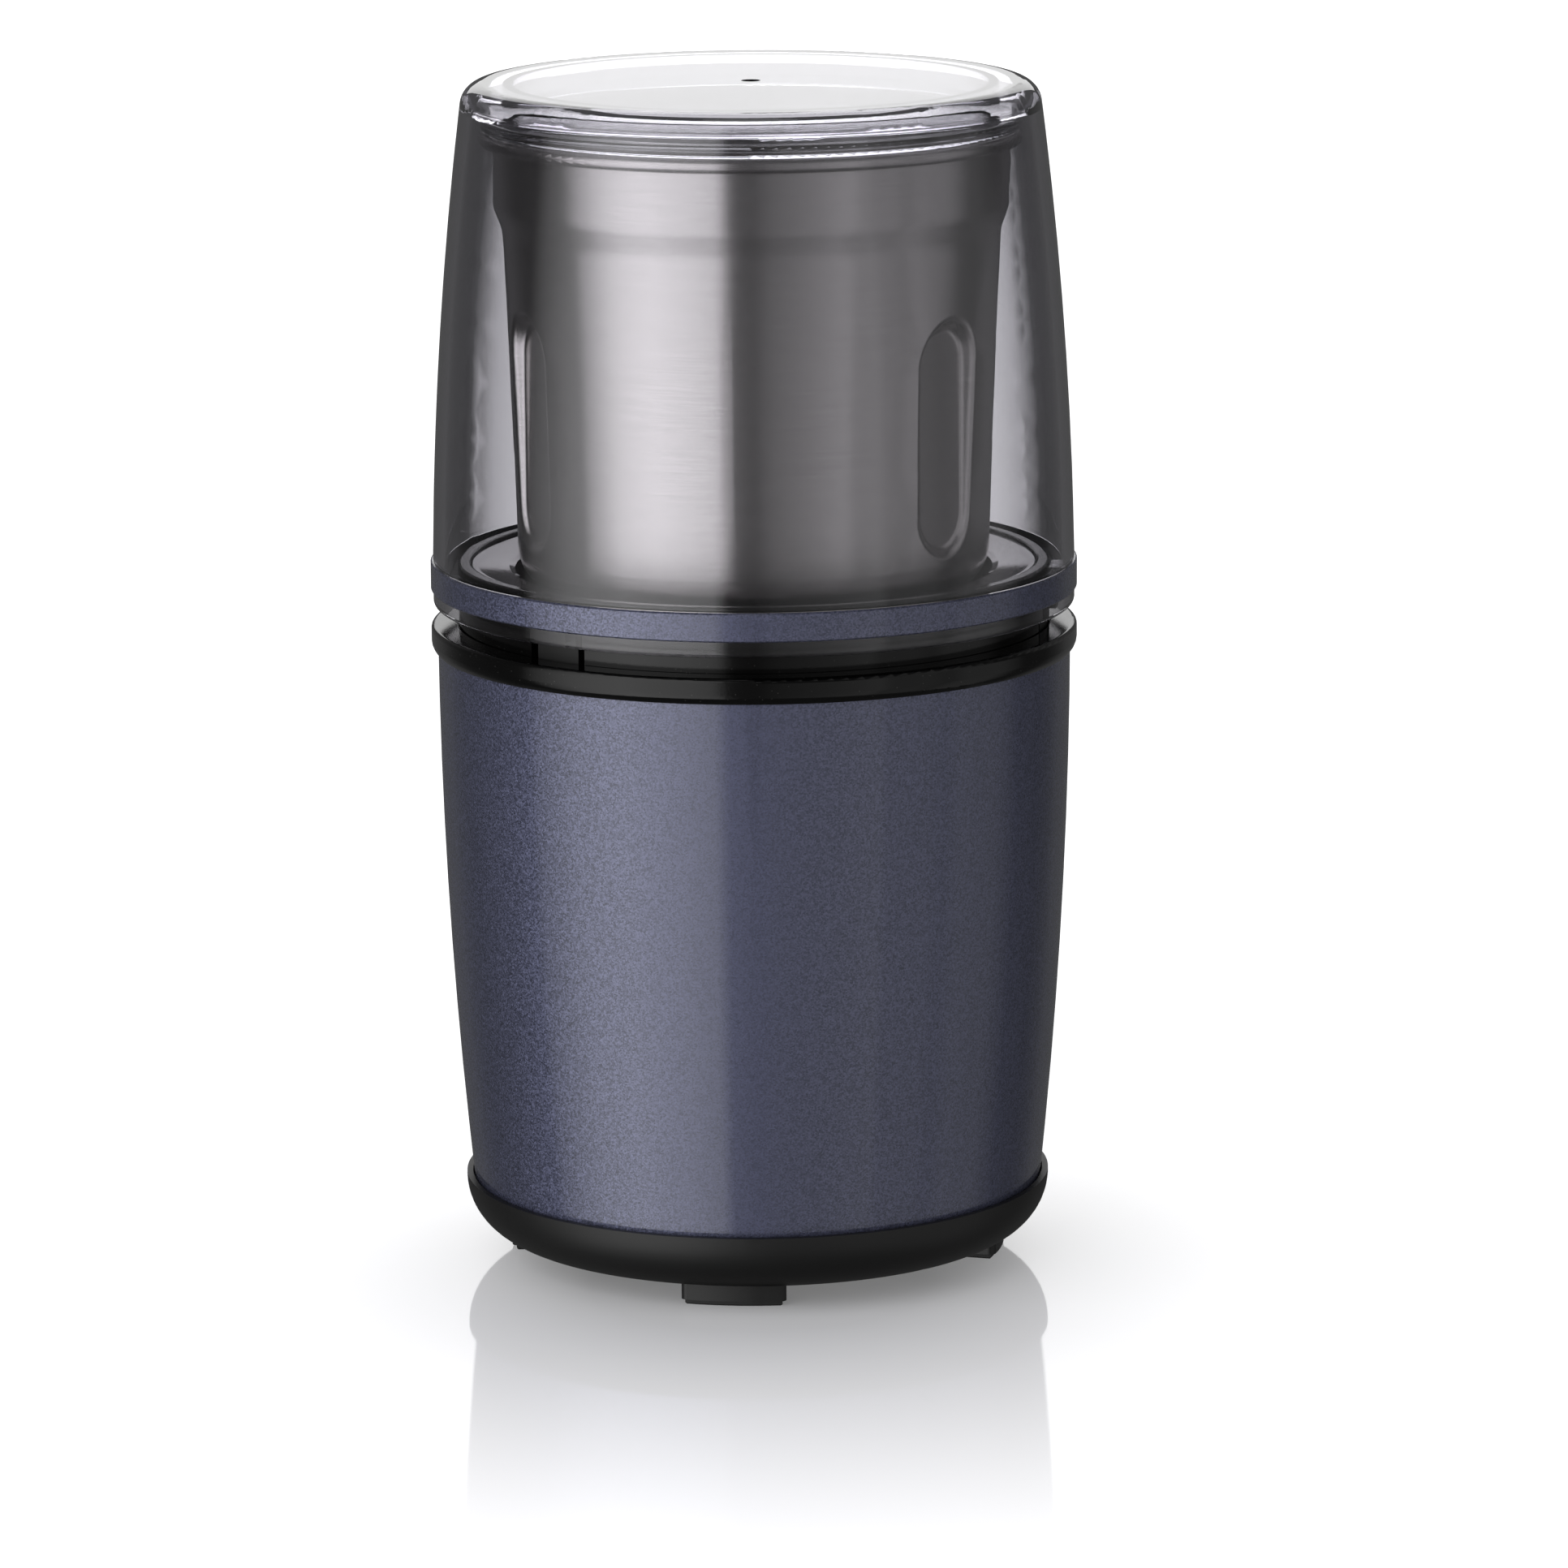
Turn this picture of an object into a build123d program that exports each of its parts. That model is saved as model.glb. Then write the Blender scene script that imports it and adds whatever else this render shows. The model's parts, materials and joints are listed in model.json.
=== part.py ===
"""Electric spice grinder: press-down clear lid, lift-out steel bowl, blue barrel body with a vertical motor.

Millimetres. The origin is on the floor under the centre of the barrel, +Z is up and the front faces -Y.
Angles called "bearings" are measured from the front, positive towards +X.
"""

import math
import os

from build123d import *

# ----------------------------------------------------------------------------------------------
# Driving dimensions
# ----------------------------------------------------------------------------------------------

# overall radius, which the band, the collar and all that lines up with them follow
barrel_radius = 57.5

# clearances
running_gap = 0.03  # radial, shaft in a bearing or bush
seat_gap = 0.1  # radial, pieces pressed or dropped into each other
part_gap = 0.3  # between pieces that move past or rest on each other
screw_gap = 0.15  # radial, screw shank in a through hole
thread_gap = 0.02  # radial, screw shank in its pilot hole
root_depth = 1.0  # how far a boss, wall or rib runs into what it stands on
cut_past = 0.2  # how far a cut runs beyond the wall it opens

# feet and base cup
pad_proud = 1.0
pad_inset = 1.2
foot_block_height = 3.2
foot_count = 4
foot_bearing = -5.6
foot_inset = 1.3
foot_depth = 6.9
foot_width = 19.0
foot_corner = 1.2
pad_margin = 0.65
pad_chamfer = 0.3
cup_floor_inset = 6.65
cup_belly_inset = 2.1
cup_lip_proud = 1.55
cup_height = 10.3
cup_wall = 2.2
cup_belly_height = 3.5
lip_rebate = 2.2
rebate_gap = 0.5
inner_vent_count = 8
outer_vent_count = 16
vent_width = 2.4
inner_vent_radii = (9.0, 15.0)
outer_vent_radii = (19.0, 28.0)

# barrel body
body_height = 100.6
body_foot_inset = 5.43
body_waist_inset = 1.43
body_wall = 2.2

# collar
collar_overhang = 1.17
collar_height = 4.6
collar_lip = 2.6
collar_fit = 0.12
collar_top_round = 0.8
collar_undercut = 0.75
collar_undercut_height = 1.8

# deck housing
skirt_inset = 4.9
skirt_wall = 2.5
skirt_above_collar = 11.6
flange_thickness = 3.5
down_skirt_length = 5.4
down_skirt_wall = 2.1
deck_floor_thickness = 2.4
deck_floor_rise = 2.0
well_wall = 1.8
shelf_thickness = 1.6
shelf_drop = 1.9
window_count = 3
window_bearing = -40.5
window_angle = 13.5
window_height = 10.8
window_headroom = 0.5
spill_collar_height = 1.5
spill_collar_wall = 1.5
drive_hole_radius = 11.0
deck_edge_round = 0.6
down_skirt_inset = 0.1
well_clearance = 1.6

# polished dish
dish_thickness = 0.6
dish_fall = 0.7
dish_hem_depth = 2.2
dish_flat_rim = 0.8
dish_bend = 0.4
dish_clearance = 0.9

# bowl
bowl_height = 82.0
bowl_wall = 0.8
bowl_corner_radius = 8.0
bowl_foot_radius = 41.9
bowl_waist_radius = 42.8
bowl_shoulder_radius = 43.95
bowl_neck_radius = 45.55
bowl_shoulder_height = 63.5
bowl_neck_height = 70.0
rim_bead_radius = 1.25
bead_overlap = 0.2
flute_count = 3
flute_bearing = 53.0
flute_width = 16.0
flute_length = 42.0
flute_depth = 2.3
flute_centre_height = 30.0
flute_draft = 35.0
flute_floor_round = 1.2
flute_mouth_round = 1.5

# bayonet ring under the bowl
base_ring_radius = 37.5
base_ring_height = 5.8
base_ring_wall = 2.2
base_ring_plate = 1.6
hub_bore_radius = 13.5
lug_count = 3
lug_reach = 4.1
lug_thickness = 2.3
lug_angle = 40.0
keeper_angle = 60.0
keeper_thickness = 2.3
keeper_gap = 0.5
keeper_clearance = 0.7
ring_boss_wall = 2.0
hub_wall_gap = 0.6
rib_count = 6
rib_width = 1.6
ring_screw_circle = 24.0
ring_screw_inset = 0.4

# blade and its hub
blade_shaft_radius = 3.0
blade_shaft_chamfer = 0.3
bush_radius = 6.0
bush_flange_radius = 9.0
bush_flange_thickness = 1.5
bush_length = 5.0
bush_chamfer = 0.6
hub_nut_flats = 16.0
hub_nut_height = 2.0
hub_washer_radius = 10.0
hub_washer_thickness = 0.5
blade_reach = 36.0
blade_width = 13.0
blade_thickness = 1.5
blade_flat_half = 12.0
blade_tip_rise = 9.0
blade_low_tip_rise = 4.05
blade_swell = (21.6, 4.88)
blade_tip_sweep = 1.3
blade_heel_reach = 34.9
spacer_height = 1.2
spacer_wall = 2.2
cap_nut_radius = 5.5
cap_nut_height = 5.0
cap_nut_skirt = 3.0
cap_nut_bore = 3.0
cap_nut_round = 1.8
cap_nut_dome_inset = 0.3

# couplings
socket_radius = 9.0
socket_depth = 4.0
socket_roof = 1.5
spline_count = 6
spline_root_radius = 4.6
spline_tip_radius = 6.6
spline_width = 2.4
spline_gap = 0.35
drive_flange_radius = 9.0
drive_flange_thickness = 2.5
drive_flange_drop = 4.0
drive_roof = 1.6
spline_run_in = 1.3
spline_chamfer = 0.4

# press ring, springs and switch
press_travel = 3.0
ring_wall = 3.5
ring_thickness = 3.1
paddle_angle = 10.3
paddle_height = 4.6
paddle_drop = 0.5
paddle_inset = 0.25
paddle_root = 0.5
nose_angle = 8.4
nose_height = 2.5
nose_reach = 1.6
spring_wire_radius = 0.35
spring_radius = 1.85
spring_turns = 5
spring_peg_radius = 1.2
spring_peg_height = 6.0
switch_bearing = 49.5
switch_length = 19.8
switch_depth = 6.4
switch_height = 6.2
switch_inset = 0.8
switch_corner = 0.6
switch_floor = 0.6
switch_rivet_span = 13.9
switch_rivet_radius = 1.0
plunger_radius = 1.4
plunger_length = 5.4
plunger_round = 0.4
finger_radius = 1.6

# lid
lid_above_rim = 8.1
lid_foot_gap = 0.5
lid_waist_inset = 1.95
lid_crown_inset = 6.29
lid_straight = 8.6
lid_wall = 2.0
lid_roof = 1.8
lid_crown_round = 4.0
lid_inner_round = 3.6
lid_foot_round = 0.9
band_proud = 0.45
band_height = 5.1
band_above_foot = 2.8
band_inset = 0.75
band_fit = 0.02
band_edge = 0.25
tab_angle = 8.4
tab_gap = 0.4
rib_depth = 5.4
rib_wall = 1.8
gate_radius = 1.7
gate_depth = 0.4

# soft ring between the lid's rib and the bowl's rim
seal_lip_radius = 47.4
seal_skirt_wall = 0.9
seal_skirt_depth = 3.4
seal_lip_thickness = 2.2
seal_lip_round = 0.7

# carrier plate under the deck
carrier_thickness = 2.5
carrier_overhang = 1.2
carrier_bore_radius = 14.0
carrier_window = (12.0, 16.0, 3.0)  # radial, across, corner
carrier_window_circle = 32.8
mount_screw_spots = [(29.0, 25.0), (-29.0, 25.0), (-29.0, -25.0), (29.0, -25.0)]
mount_boss_radius = 4.8
mount_boss_depth = 8.5
rubber_height = 3.0
rubber_radius = 4.6
post_count = 3
post_bearing = -10.5
post_inset = 2.1
post_radius = 3.4
post_drop = 2.0
post_web_angle = 4.5
ear_thickness = 3.0
ear_angle = 11.0

# motor
shaft_radius = 3.0
stator_half_x = 33.0
stator_half_y = 29.0
stator_corner = 7.0
stack_height = 24.0
stator_bore_radius = 17.3
air_gap = 0.7
shoe_thickness = 3.0
shoe_half_angle = 58.0
pole_half_width = 11.3
pocket_half_x = 25.8
pocket_half_y = 21.5
coil_gap = 0.3
coil_overhang = 7.5
coil_side = 8.8
coil_corner = 4.0
coil_inner_corner = 0.8
bracket_thickness = 3.5
bracket_hub_radius = 12.5
bracket_arm_width = 8.0
bracket_pad_margin = 1.0
brush_arm_width = 12.0
brush_arm_margin = 2.5
column_radius = 4.0
upper_column_height = 8.5
lower_column_height = 24.5
bearing_radius = 8.5
bearing_height = 6.0
bearing_cup_radius = 11.0
bearing_seat_floor = 1.0
bearing_chamfer = 0.4
shaft_clearance = 1.0
shaft_chamfer = 0.4
armature_slots = 12
slot_width = 3.0
slot_depth = 7.0
winding_overhang = 6.0
winding_clearance = 2.0
slot_wedge = 1.2
winding_radius = 15.4
commutator_radius = 10.5
commutator_height = 11.0
commutator_bars = 12
commutator_gap = 1.6
riser_radius = 11.7
riser_height = 2.0
bar_slot_width = 0.5
bar_slot_depth = 0.8
brush_size = (5.0, 6.0)
brush_length = 13.0
brush_height_above_bracket = 11.5
holder_wall = 1.2
holder_length = 17.0
holder_setback = 1.5
holder_foot_shift = 1.0
holder_foot_length = 13.0
brush_cap_depth = 2.4
brush_cap_lip = 0.8
brush_spring_radius = 1.6
brush_spring_wire = 0.22
brush_spring_turns = 4
cutout_size = (5.0, 12.0, 5.0)
cutout_corner = 1.2
cutout_offset = 3.2
fan_radius = 26.0
fan_blades = 11
fan_disc = 1.4
fan_blade_height = 7.2
fan_hub_radius = 6.0
fan_gap = 3.4
fan_vane_inner = 12.0
fan_vane_margin = 1.0
fan_vane_thickness = 1.2
fan_vane_lean = 35.0

# fasteners and small parts
screw_radius = 1.5
screw_head_radius = 2.9
screw_head_height = 2.0
screw_cross = 0.8
screw_tip_gap = 1.0
screw_recess = 4.0
bolt_head_radius = 3.2
bolt_grip = 3.0
base_screw_inset = 7.9
base_boss_radius = 4.8
shell_boss_radius = 4.0
shell_boss_height = 9.0
shell_boss_roof = 2.0
boss_web_angle = 4.0
cord_hole_radius = 3.9
cord_bore_radius = 2.8
cord_height = 11.0
gland_flange_radius = 4.9
gland_flange_thickness = 1.6
gland_barb_run = 1.4
gland_barb_length = 1.2
gland_barb_height = 0.3
terminal_hole_radius = 1.7
terminal_size = (18.0, 9.0, 9.0)
terminal_spot = (13.0, 33.0)
terminal_chamfer = 0.8
terminal_count = 3
terminal_pitch = 6.0

# ----------------------------------------------------------------------------------------------
# Levels and sizes that follow from them
# ----------------------------------------------------------------------------------------------

FRONT = -90.0  # polar angle of the front, where bearing 0 lies

collar_radius = barrel_radius
band_radius = barrel_radius
body_top_radius = barrel_radius - collar_overhang
body_waist_radius = body_top_radius - body_waist_inset
body_foot_radius = body_top_radius - body_foot_inset
cup_lip_radius = body_foot_radius + cup_lip_proud
cup_belly_radius = cup_lip_radius - cup_belly_inset
cup_floor_radius = cup_lip_radius - cup_floor_inset
foot_outer_radius = cup_floor_radius - foot_inset
base_screw_circle = body_foot_radius - base_screw_inset
skirt_radius = barrel_radius - skirt_inset
ring_inner_radius = skirt_radius - skirt_wall
post_circle = ring_inner_radius - post_inset
lid_radius = barrel_radius - band_proud
lid_waist_radius = lid_radius - lid_waist_inset
lid_crown_radius = lid_radius - lid_crown_inset

cup_floor_z = pad_proud + foot_block_height
cup_inside_z = cup_floor_z + cup_wall
cup_lip_z = cup_floor_z + cup_height
shell_foot_z = cup_lip_z - lip_rebate
shell_top_z = shell_foot_z + body_height
collar_z = shell_top_z - collar_lip
collar_top_z = collar_z + collar_height

flange_z = shell_top_z - flange_thickness
down_skirt_z = flange_z - down_skirt_length
ring_top_z = collar_top_z + skirt_above_collar
shelf_top_z = ring_top_z - shelf_drop
well_floor_z = shell_top_z + deck_floor_rise
deck_underside_z = well_floor_z - deck_floor_thickness

lug_radius = base_ring_radius + lug_reach
well_radius = lug_radius + well_clearance
dish_hole_radius = lug_radius + dish_clearance

base_ring_z = well_floor_z + part_gap
bowl_floor_z = base_ring_z + base_ring_height
keeper_z = base_ring_z + lug_thickness + keeper_gap
bowl_rim_z = bowl_floor_z + bowl_height
inner_floor_z = bowl_floor_z + bowl_wall

lid_foot_z = collar_top_z + press_travel + lid_foot_gap
lid_top_z = bowl_rim_z + lid_above_rim
lid_under_z = lid_top_z - lid_roof
band_z = lid_foot_z + band_above_foot
nose_top_z = band_z + part_gap
nose_z = nose_top_z - nose_height
tab_z = nose_top_z + part_gap
window_top_z = nose_top_z + window_headroom
window_z = window_top_z - window_height
paddle_z = nose_z - paddle_height

seal_skirt_radius = bowl_neck_radius - bowl_wall - seat_gap
rib_radius = seal_skirt_radius - seal_skirt_wall - seat_gap

carrier_top_z = down_skirt_z - post_drop
carrier_z = carrier_top_z - carrier_thickness
carrier_radius = ring_inner_radius + carrier_overhang
channel_radius = (well_radius + well_wall + ring_inner_radius) / 2
press_ring_z = paddle_z + paddle_drop

bracket_top_z = carrier_z - mount_boss_depth - rubber_height
upper_bracket_z = bracket_top_z - bracket_thickness
stack_top_z = bracket_top_z - bracket_thickness - upper_column_height
stack_z = stack_top_z - stack_height
lower_bracket_z = stack_z - lower_column_height - bracket_thickness
armature_radius = stator_bore_radius - air_gap
commutator_z = stack_z - winding_overhang - commutator_gap - commutator_height
fan_z = lower_bracket_z - fan_gap - fan_blade_height - fan_disc

drive_flange_z = deck_underside_z - drive_flange_drop
drive_top_z = drive_flange_z + drive_flange_thickness + socket_depth + spline_run_in
bush_z = inner_floor_z + bush_flange_thickness - bush_length
socket_z = bush_z - part_gap - socket_roof - socket_depth
blade_z = inner_floor_z + bush_flange_thickness + spacer_height
cap_nut_z = blade_z + blade_thickness


# ----------------------------------------------------------------------------------------------
# Helpers
# ----------------------------------------------------------------------------------------------


def section(r_in, r_out, z_low, z_high, mode=Mode.ADD):
    """A rectangle in a radial section, between two radii and two levels."""
    with Locations(((r_in + r_out) / 2, (z_low + z_high) / 2)):
        Rectangle(r_out - r_in, z_high - z_low, mode=mode)


def sector(r_in, r_out, bearing, angle, mode=Mode.ADD):
    """A flat ring sector centred on a bearing."""
    start = FRONT + bearing - angle / 2
    with BuildLine() as outline:
        outer = CenterArc((0, 0), r_out, start, angle)
        inner = CenterArc((0, 0), r_in, start, angle)
        Line(outer @ 0, inner @ 0)
        Line(outer @ 1, inner @ 1)
    make_face(outline.edges(), mode=mode)


def spot(radius, bearing):
    """The plan position at a radius and a bearing."""
    angle = math.radians(FRONT + bearing)
    return (radius * math.cos(angle), radius * math.sin(angle))


def axis_distance(point):
    """How far a point lies from the axis."""
    return math.hypot(point.X, point.Y)


def bearings(count, first):
    """Evenly spaced bearings."""
    return [first + 360.0 * index / count for index in range(count)]


def arc_radius(foot, waist, top, share):
    """Radius of the arc through three radii, the middle one at half height, at a share of the height.

    The arc is shallow, so a parabola through the same three points stands for it to a few hundredths.
    """
    return foot + share * (4 * waist - 3 * foot - top) + share**2 * (2 * foot + 2 * top - 4 * waist)


def ring_part(r_in, r_out, z_low, z_high, outer_chamfer=0.0):
    """A plain turned ring."""
    with BuildPart() as ring:
        with BuildSketch(Plane.XZ):
            section(r_in, r_out, z_low, z_high)
        revolve(axis=Axis.Z)
        if outer_chamfer:
            rims = ring.edges().filter_by(GeomType.CIRCLE).sort_by(SortBy.RADIUS)[-2:]
            chamfer(rims, outer_chamfer)
    return ring.part


def screws(spots, seat_z, length, shank=screw_radius, head=screw_head_radius):
    """Pan-head cross-recess screws on a common seat; a negative length points down."""
    way = math.copysign(1, length)
    with BuildPart() as group:
        with BuildSketch(Plane.XY.offset(seat_z)):
            with Locations(*spots):
                Circle(shank)
        extrude(amount=length)
        with BuildSketch(Plane.XY.offset(seat_z)):
            with Locations(*spots):
                Circle(head)
        extrude(amount=-way * screw_head_height)
        with BuildSketch(Plane.XY.offset(seat_z - way * screw_head_height)):
            with Locations(*spots):
                Rectangle(head * 1.2, screw_cross)
                Rectangle(screw_cross, head * 1.2)
        extrude(amount=way * screw_head_height / 2, mode=Mode.SUBTRACT)
    return group.part


def save(part, name):
    """Label a finished piece and write it to its own file."""
    part.label = name
    export_step(part, f"parts/{name}.step")


os.makedirs("parts", exist_ok=True)

foot_bearings = bearings(foot_count, foot_bearing)
base_screw_bearings = bearings(foot_count, foot_bearing + 180.0 / foot_count)
base_screw_spots = [spot(base_screw_circle, bearing) for bearing in base_screw_bearings]
window_bearings = bearings(window_count, window_bearing)
spring_bearings = bearings(window_count, window_bearing + 180.0 / window_count)
post_bearings = bearings(post_count, post_bearing)
post_spots = [spot(post_circle, bearing) for bearing in post_bearings]
foot_angle = 2 * math.degrees(math.asin(foot_width / 2 / foot_outer_radius))
pad_angle = foot_angle - 2 * math.degrees(pad_margin / foot_outer_radius)
pad_play = 2 * math.degrees(seat_gap / foot_outer_radius)
cord_cut_y = cup_floor_radius - cup_wall - gland_barb_run

# ----------------------------------------------------------------------------------------------
# Base cup, feet and cord inlet
# ----------------------------------------------------------------------------------------------

with BuildPart() as base_cup:
    with BuildSketch(Plane.XZ):
        with BuildLine():
            inner_wall_r = body_foot_radius - body_wall
            rebate_r = body_foot_radius + rebate_gap
            belly_z = cup_floor_z + cup_belly_height
            Line((0, cup_floor_z), (cup_floor_radius, cup_floor_z))
            belly = (cup_belly_radius, belly_z)
            ThreePointArc((cup_floor_radius, cup_floor_z), belly, (cup_lip_radius, cup_lip_z))
            Polyline(
                (cup_lip_radius, cup_lip_z),
                (rebate_r, cup_lip_z),
                (rebate_r, shell_foot_z),
                (inner_wall_r, shell_foot_z),
            )
            inner_corner = (cup_floor_radius - cup_wall, cup_inside_z)
            TangentArc((inner_wall_r, shell_foot_z), inner_corner, tangent=(0, -1))
            Polyline(inner_corner, (0, cup_inside_z), (0, cup_floor_z))
        make_face()
    revolve(axis=Axis.Z)
    # foot blocks hang from the floor, each with a pocket for its pad
    with BuildSketch(Plane.XY.offset(pad_proud)) as blocks:
        for bearing in foot_bearings:
            sector(foot_outer_radius - foot_depth, foot_outer_radius, bearing, foot_angle)
        fillet(blocks.vertices(), foot_corner)
    extrude(amount=foot_block_height)
    with BuildSketch(Plane.XY.offset(pad_proud)):
        for bearing in foot_bearings:
            sector(
                foot_outer_radius - foot_depth + pad_margin,
                foot_outer_radius - pad_margin,
                bearing,
                pad_angle,
            )
    extrude(amount=pad_inset, mode=Mode.SUBTRACT)
    # screw towers
    with BuildSketch(Plane.XY.offset(cup_inside_z - cup_wall / 2)):
        with Locations(*base_screw_spots):
            Circle(base_boss_radius)
    extrude(amount=shell_foot_z - 2 * seat_gap - cup_inside_z + cup_wall / 2)
    with BuildSketch(Plane.XY.offset(cup_floor_z)):
        with Locations(*base_screw_spots):
            Circle(screw_radius + screw_gap)
    extrude(amount=cup_height, mode=Mode.SUBTRACT)
    with BuildSketch(Plane.XY.offset(cup_floor_z)):
        with Locations(*base_screw_spots):
            Circle(screw_head_radius + part_gap)
    extrude(amount=screw_recess, mode=Mode.SUBTRACT)
    # cooling slots, too narrow for a finger
    with BuildSketch(Plane.XY.offset(cup_floor_z)):
        for count, radii in ((inner_vent_count, inner_vent_radii), (outer_vent_count, outer_vent_radii)):
            with PolarLocations((radii[0] + radii[1]) / 2, count, start_angle=FRONT + 180 / count):
                Rectangle(radii[1] - radii[0], vent_width)
    extrude(amount=cup_wall, mode=Mode.SUBTRACT)
    # cord hole through the rear wall
    with BuildSketch(Plane.XZ.offset(-cord_cut_y)):
        with Locations((0, cord_height)):
            Circle(cord_hole_radius)
    extrude(amount=cord_cut_y - cup_lip_radius - gland_flange_thickness, mode=Mode.SUBTRACT)
save(base_cup.part, "base_cup")

with BuildPart() as foot_pads:
    with BuildSketch() as pads:
        for bearing in foot_bearings:
            sector(
                foot_outer_radius - foot_depth + pad_margin + seat_gap,
                foot_outer_radius - pad_margin - seat_gap,
                bearing,
                pad_angle - pad_play,
            )
    extrude(amount=pad_proud + pad_inset)
    chamfer(foot_pads.faces().sort_by(Axis.Z)[:foot_count].edges(), pad_chamfer)
save(foot_pads.part, "foot_pads")

base_screw_seat_z = cup_floor_z + screw_recess
base_screw_tip_z = shell_foot_z + shell_boss_height - shell_boss_roof - screw_tip_gap
save(screws(base_screw_spots, base_screw_seat_z, base_screw_tip_z - base_screw_seat_z), "base_screws")

with BuildPart() as cord_gland:
    with BuildSketch(Plane.XY.offset(cord_height)):
        flange_y = cup_lip_radius + seat_gap
        barb_y = cord_cut_y
        groove_radius = cord_hole_radius - seat_gap
        with BuildLine():
            Polyline(
                (cord_bore_radius, barb_y),
                (groove_radius, barb_y),
                (groove_radius + gland_barb_height, barb_y + gland_barb_length),
                (groove_radius, barb_y + gland_barb_length),
                (groove_radius, flange_y),
                (gland_flange_radius, flange_y),
                (gland_flange_radius, flange_y + gland_flange_thickness / 2),
                (gland_flange_radius - gland_flange_thickness / 2, flange_y + gland_flange_thickness),
                (cord_bore_radius, flange_y + gland_flange_thickness),
                close=True,
            )
        make_face()
    revolve(axis=Axis((0, 0, cord_height), (0, 1, 0)))
save(cord_gland.part, "cord_gland")

with BuildPart() as terminal_block:
    terminal_x, terminal_y, terminal_z = terminal_size
    with BuildSketch(Plane.XY.offset(cup_inside_z)):
        with Locations(terminal_spot):
            Rectangle(terminal_x, terminal_y)
    extrude(amount=terminal_z)
    chamfer(terminal_block.faces().sort_by(Axis.Z)[-1].edges(), terminal_chamfer)
    with BuildSketch(Plane.XY.offset(cup_inside_z + terminal_z)):
        with Locations(terminal_spot):
            with GridLocations(terminal_pitch, 1, terminal_count, 1):
                Circle(terminal_hole_radius)
    extrude(amount=-terminal_z / 2, mode=Mode.SUBTRACT)
save(terminal_block.part, "terminal_block")

# ----------------------------------------------------------------------------------------------
# Barrel body and collar
# ----------------------------------------------------------------------------------------------

ear_z = carrier_z - ear_thickness
waist_z = (shell_foot_z + shell_top_z) / 2

with BuildPart() as body_shell:
    with BuildSketch(Plane.XZ):
        with BuildLine():
            outer = ThreePointArc(
                (body_foot_radius, shell_foot_z), (body_waist_radius, waist_z), (body_top_radius, shell_top_z)
            )
            inner = ThreePointArc(
                (body_foot_radius - body_wall, shell_foot_z),
                (body_waist_radius - body_wall, waist_z),
                (body_top_radius - body_wall, shell_top_z),
            )
            Line(outer @ 0, inner @ 0)
            Line(outer @ 1, inner @ 1)
        make_face()
    revolve(axis=Axis.Z)
    # bosses for the base screws, each webbed to the wall
    with BuildSketch(Plane.XY.offset(shell_foot_z)):
        with Locations(*base_screw_spots):
            Circle(shell_boss_radius)
        for bearing in base_screw_bearings:
            sector(base_screw_circle, body_foot_radius - body_wall / 2, bearing, boss_web_angle)
    extrude(amount=shell_boss_height)
    with BuildSketch(Plane.XY.offset(shell_foot_z)):
        with Locations(*base_screw_spots):
            Circle(screw_radius + thread_gap)
    extrude(amount=shell_boss_height - shell_boss_roof, mode=Mode.SUBTRACT)
    # ears that carry the motor carrier
    with BuildSketch(Plane.XY.offset(ear_z)):
        for bearing in post_bearings:
            ear_wall_share = (ear_z - shell_foot_z) / body_height
            ear_wall_r = arc_radius(body_foot_radius, body_waist_radius, body_top_radius, ear_wall_share)
            sector(post_circle - post_radius, ear_wall_r - body_wall / 2, bearing, ear_angle)
    extrude(amount=ear_thickness)
    with BuildSketch(Plane.XY.offset(ear_z)):
        with Locations(*post_spots):
            Circle(screw_radius + screw_gap)
    extrude(amount=ear_thickness, mode=Mode.SUBTRACT)
    # notch round the cord gland
    with BuildSketch(Plane.XZ.offset(-cup_floor_radius)):
        with Locations((0, cord_height)):
            Circle(cord_hole_radius)
    extrude(amount=-4 * body_wall, mode=Mode.SUBTRACT)
save(body_shell.part, "body_shell")

with BuildPart() as collar:
    with BuildSketch(Plane.XZ) as collar_section:
        lip_r = body_top_radius + collar_fit
        collar_bore = skirt_radius + part_gap
        with BuildLine():
            Polyline(
                (collar_bore, shell_top_z),
                (collar_bore, collar_top_z),
                (collar_radius, collar_top_z),
                (collar_radius, collar_z + collar_undercut_height),
            )
            TangentArc(
                (collar_radius, collar_z + collar_undercut_height),
                (collar_radius - collar_undercut, collar_z),
                tangent=(0, -1),
            )
            Polyline(
                (collar_radius - collar_undercut, collar_z),
                (lip_r, collar_z),
                (lip_r, shell_top_z),
                (collar_bore, shell_top_z),
            )
        make_face()
        top_corner = collar_section.vertices().group_by(Axis.Y)[-1].sort_by(Axis.X)[-1]
        fillet(top_corner, collar_top_round)
    revolve(axis=Axis.Z)
save(collar.part, "collar")

# ----------------------------------------------------------------------------------------------
# Deck housing, dish and carrier
# ----------------------------------------------------------------------------------------------

flange_radius = body_top_radius - body_wall - seat_gap - running_gap
down_skirt_radius = flange_radius - down_skirt_inset
well_outer_radius = well_radius + well_wall

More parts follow.
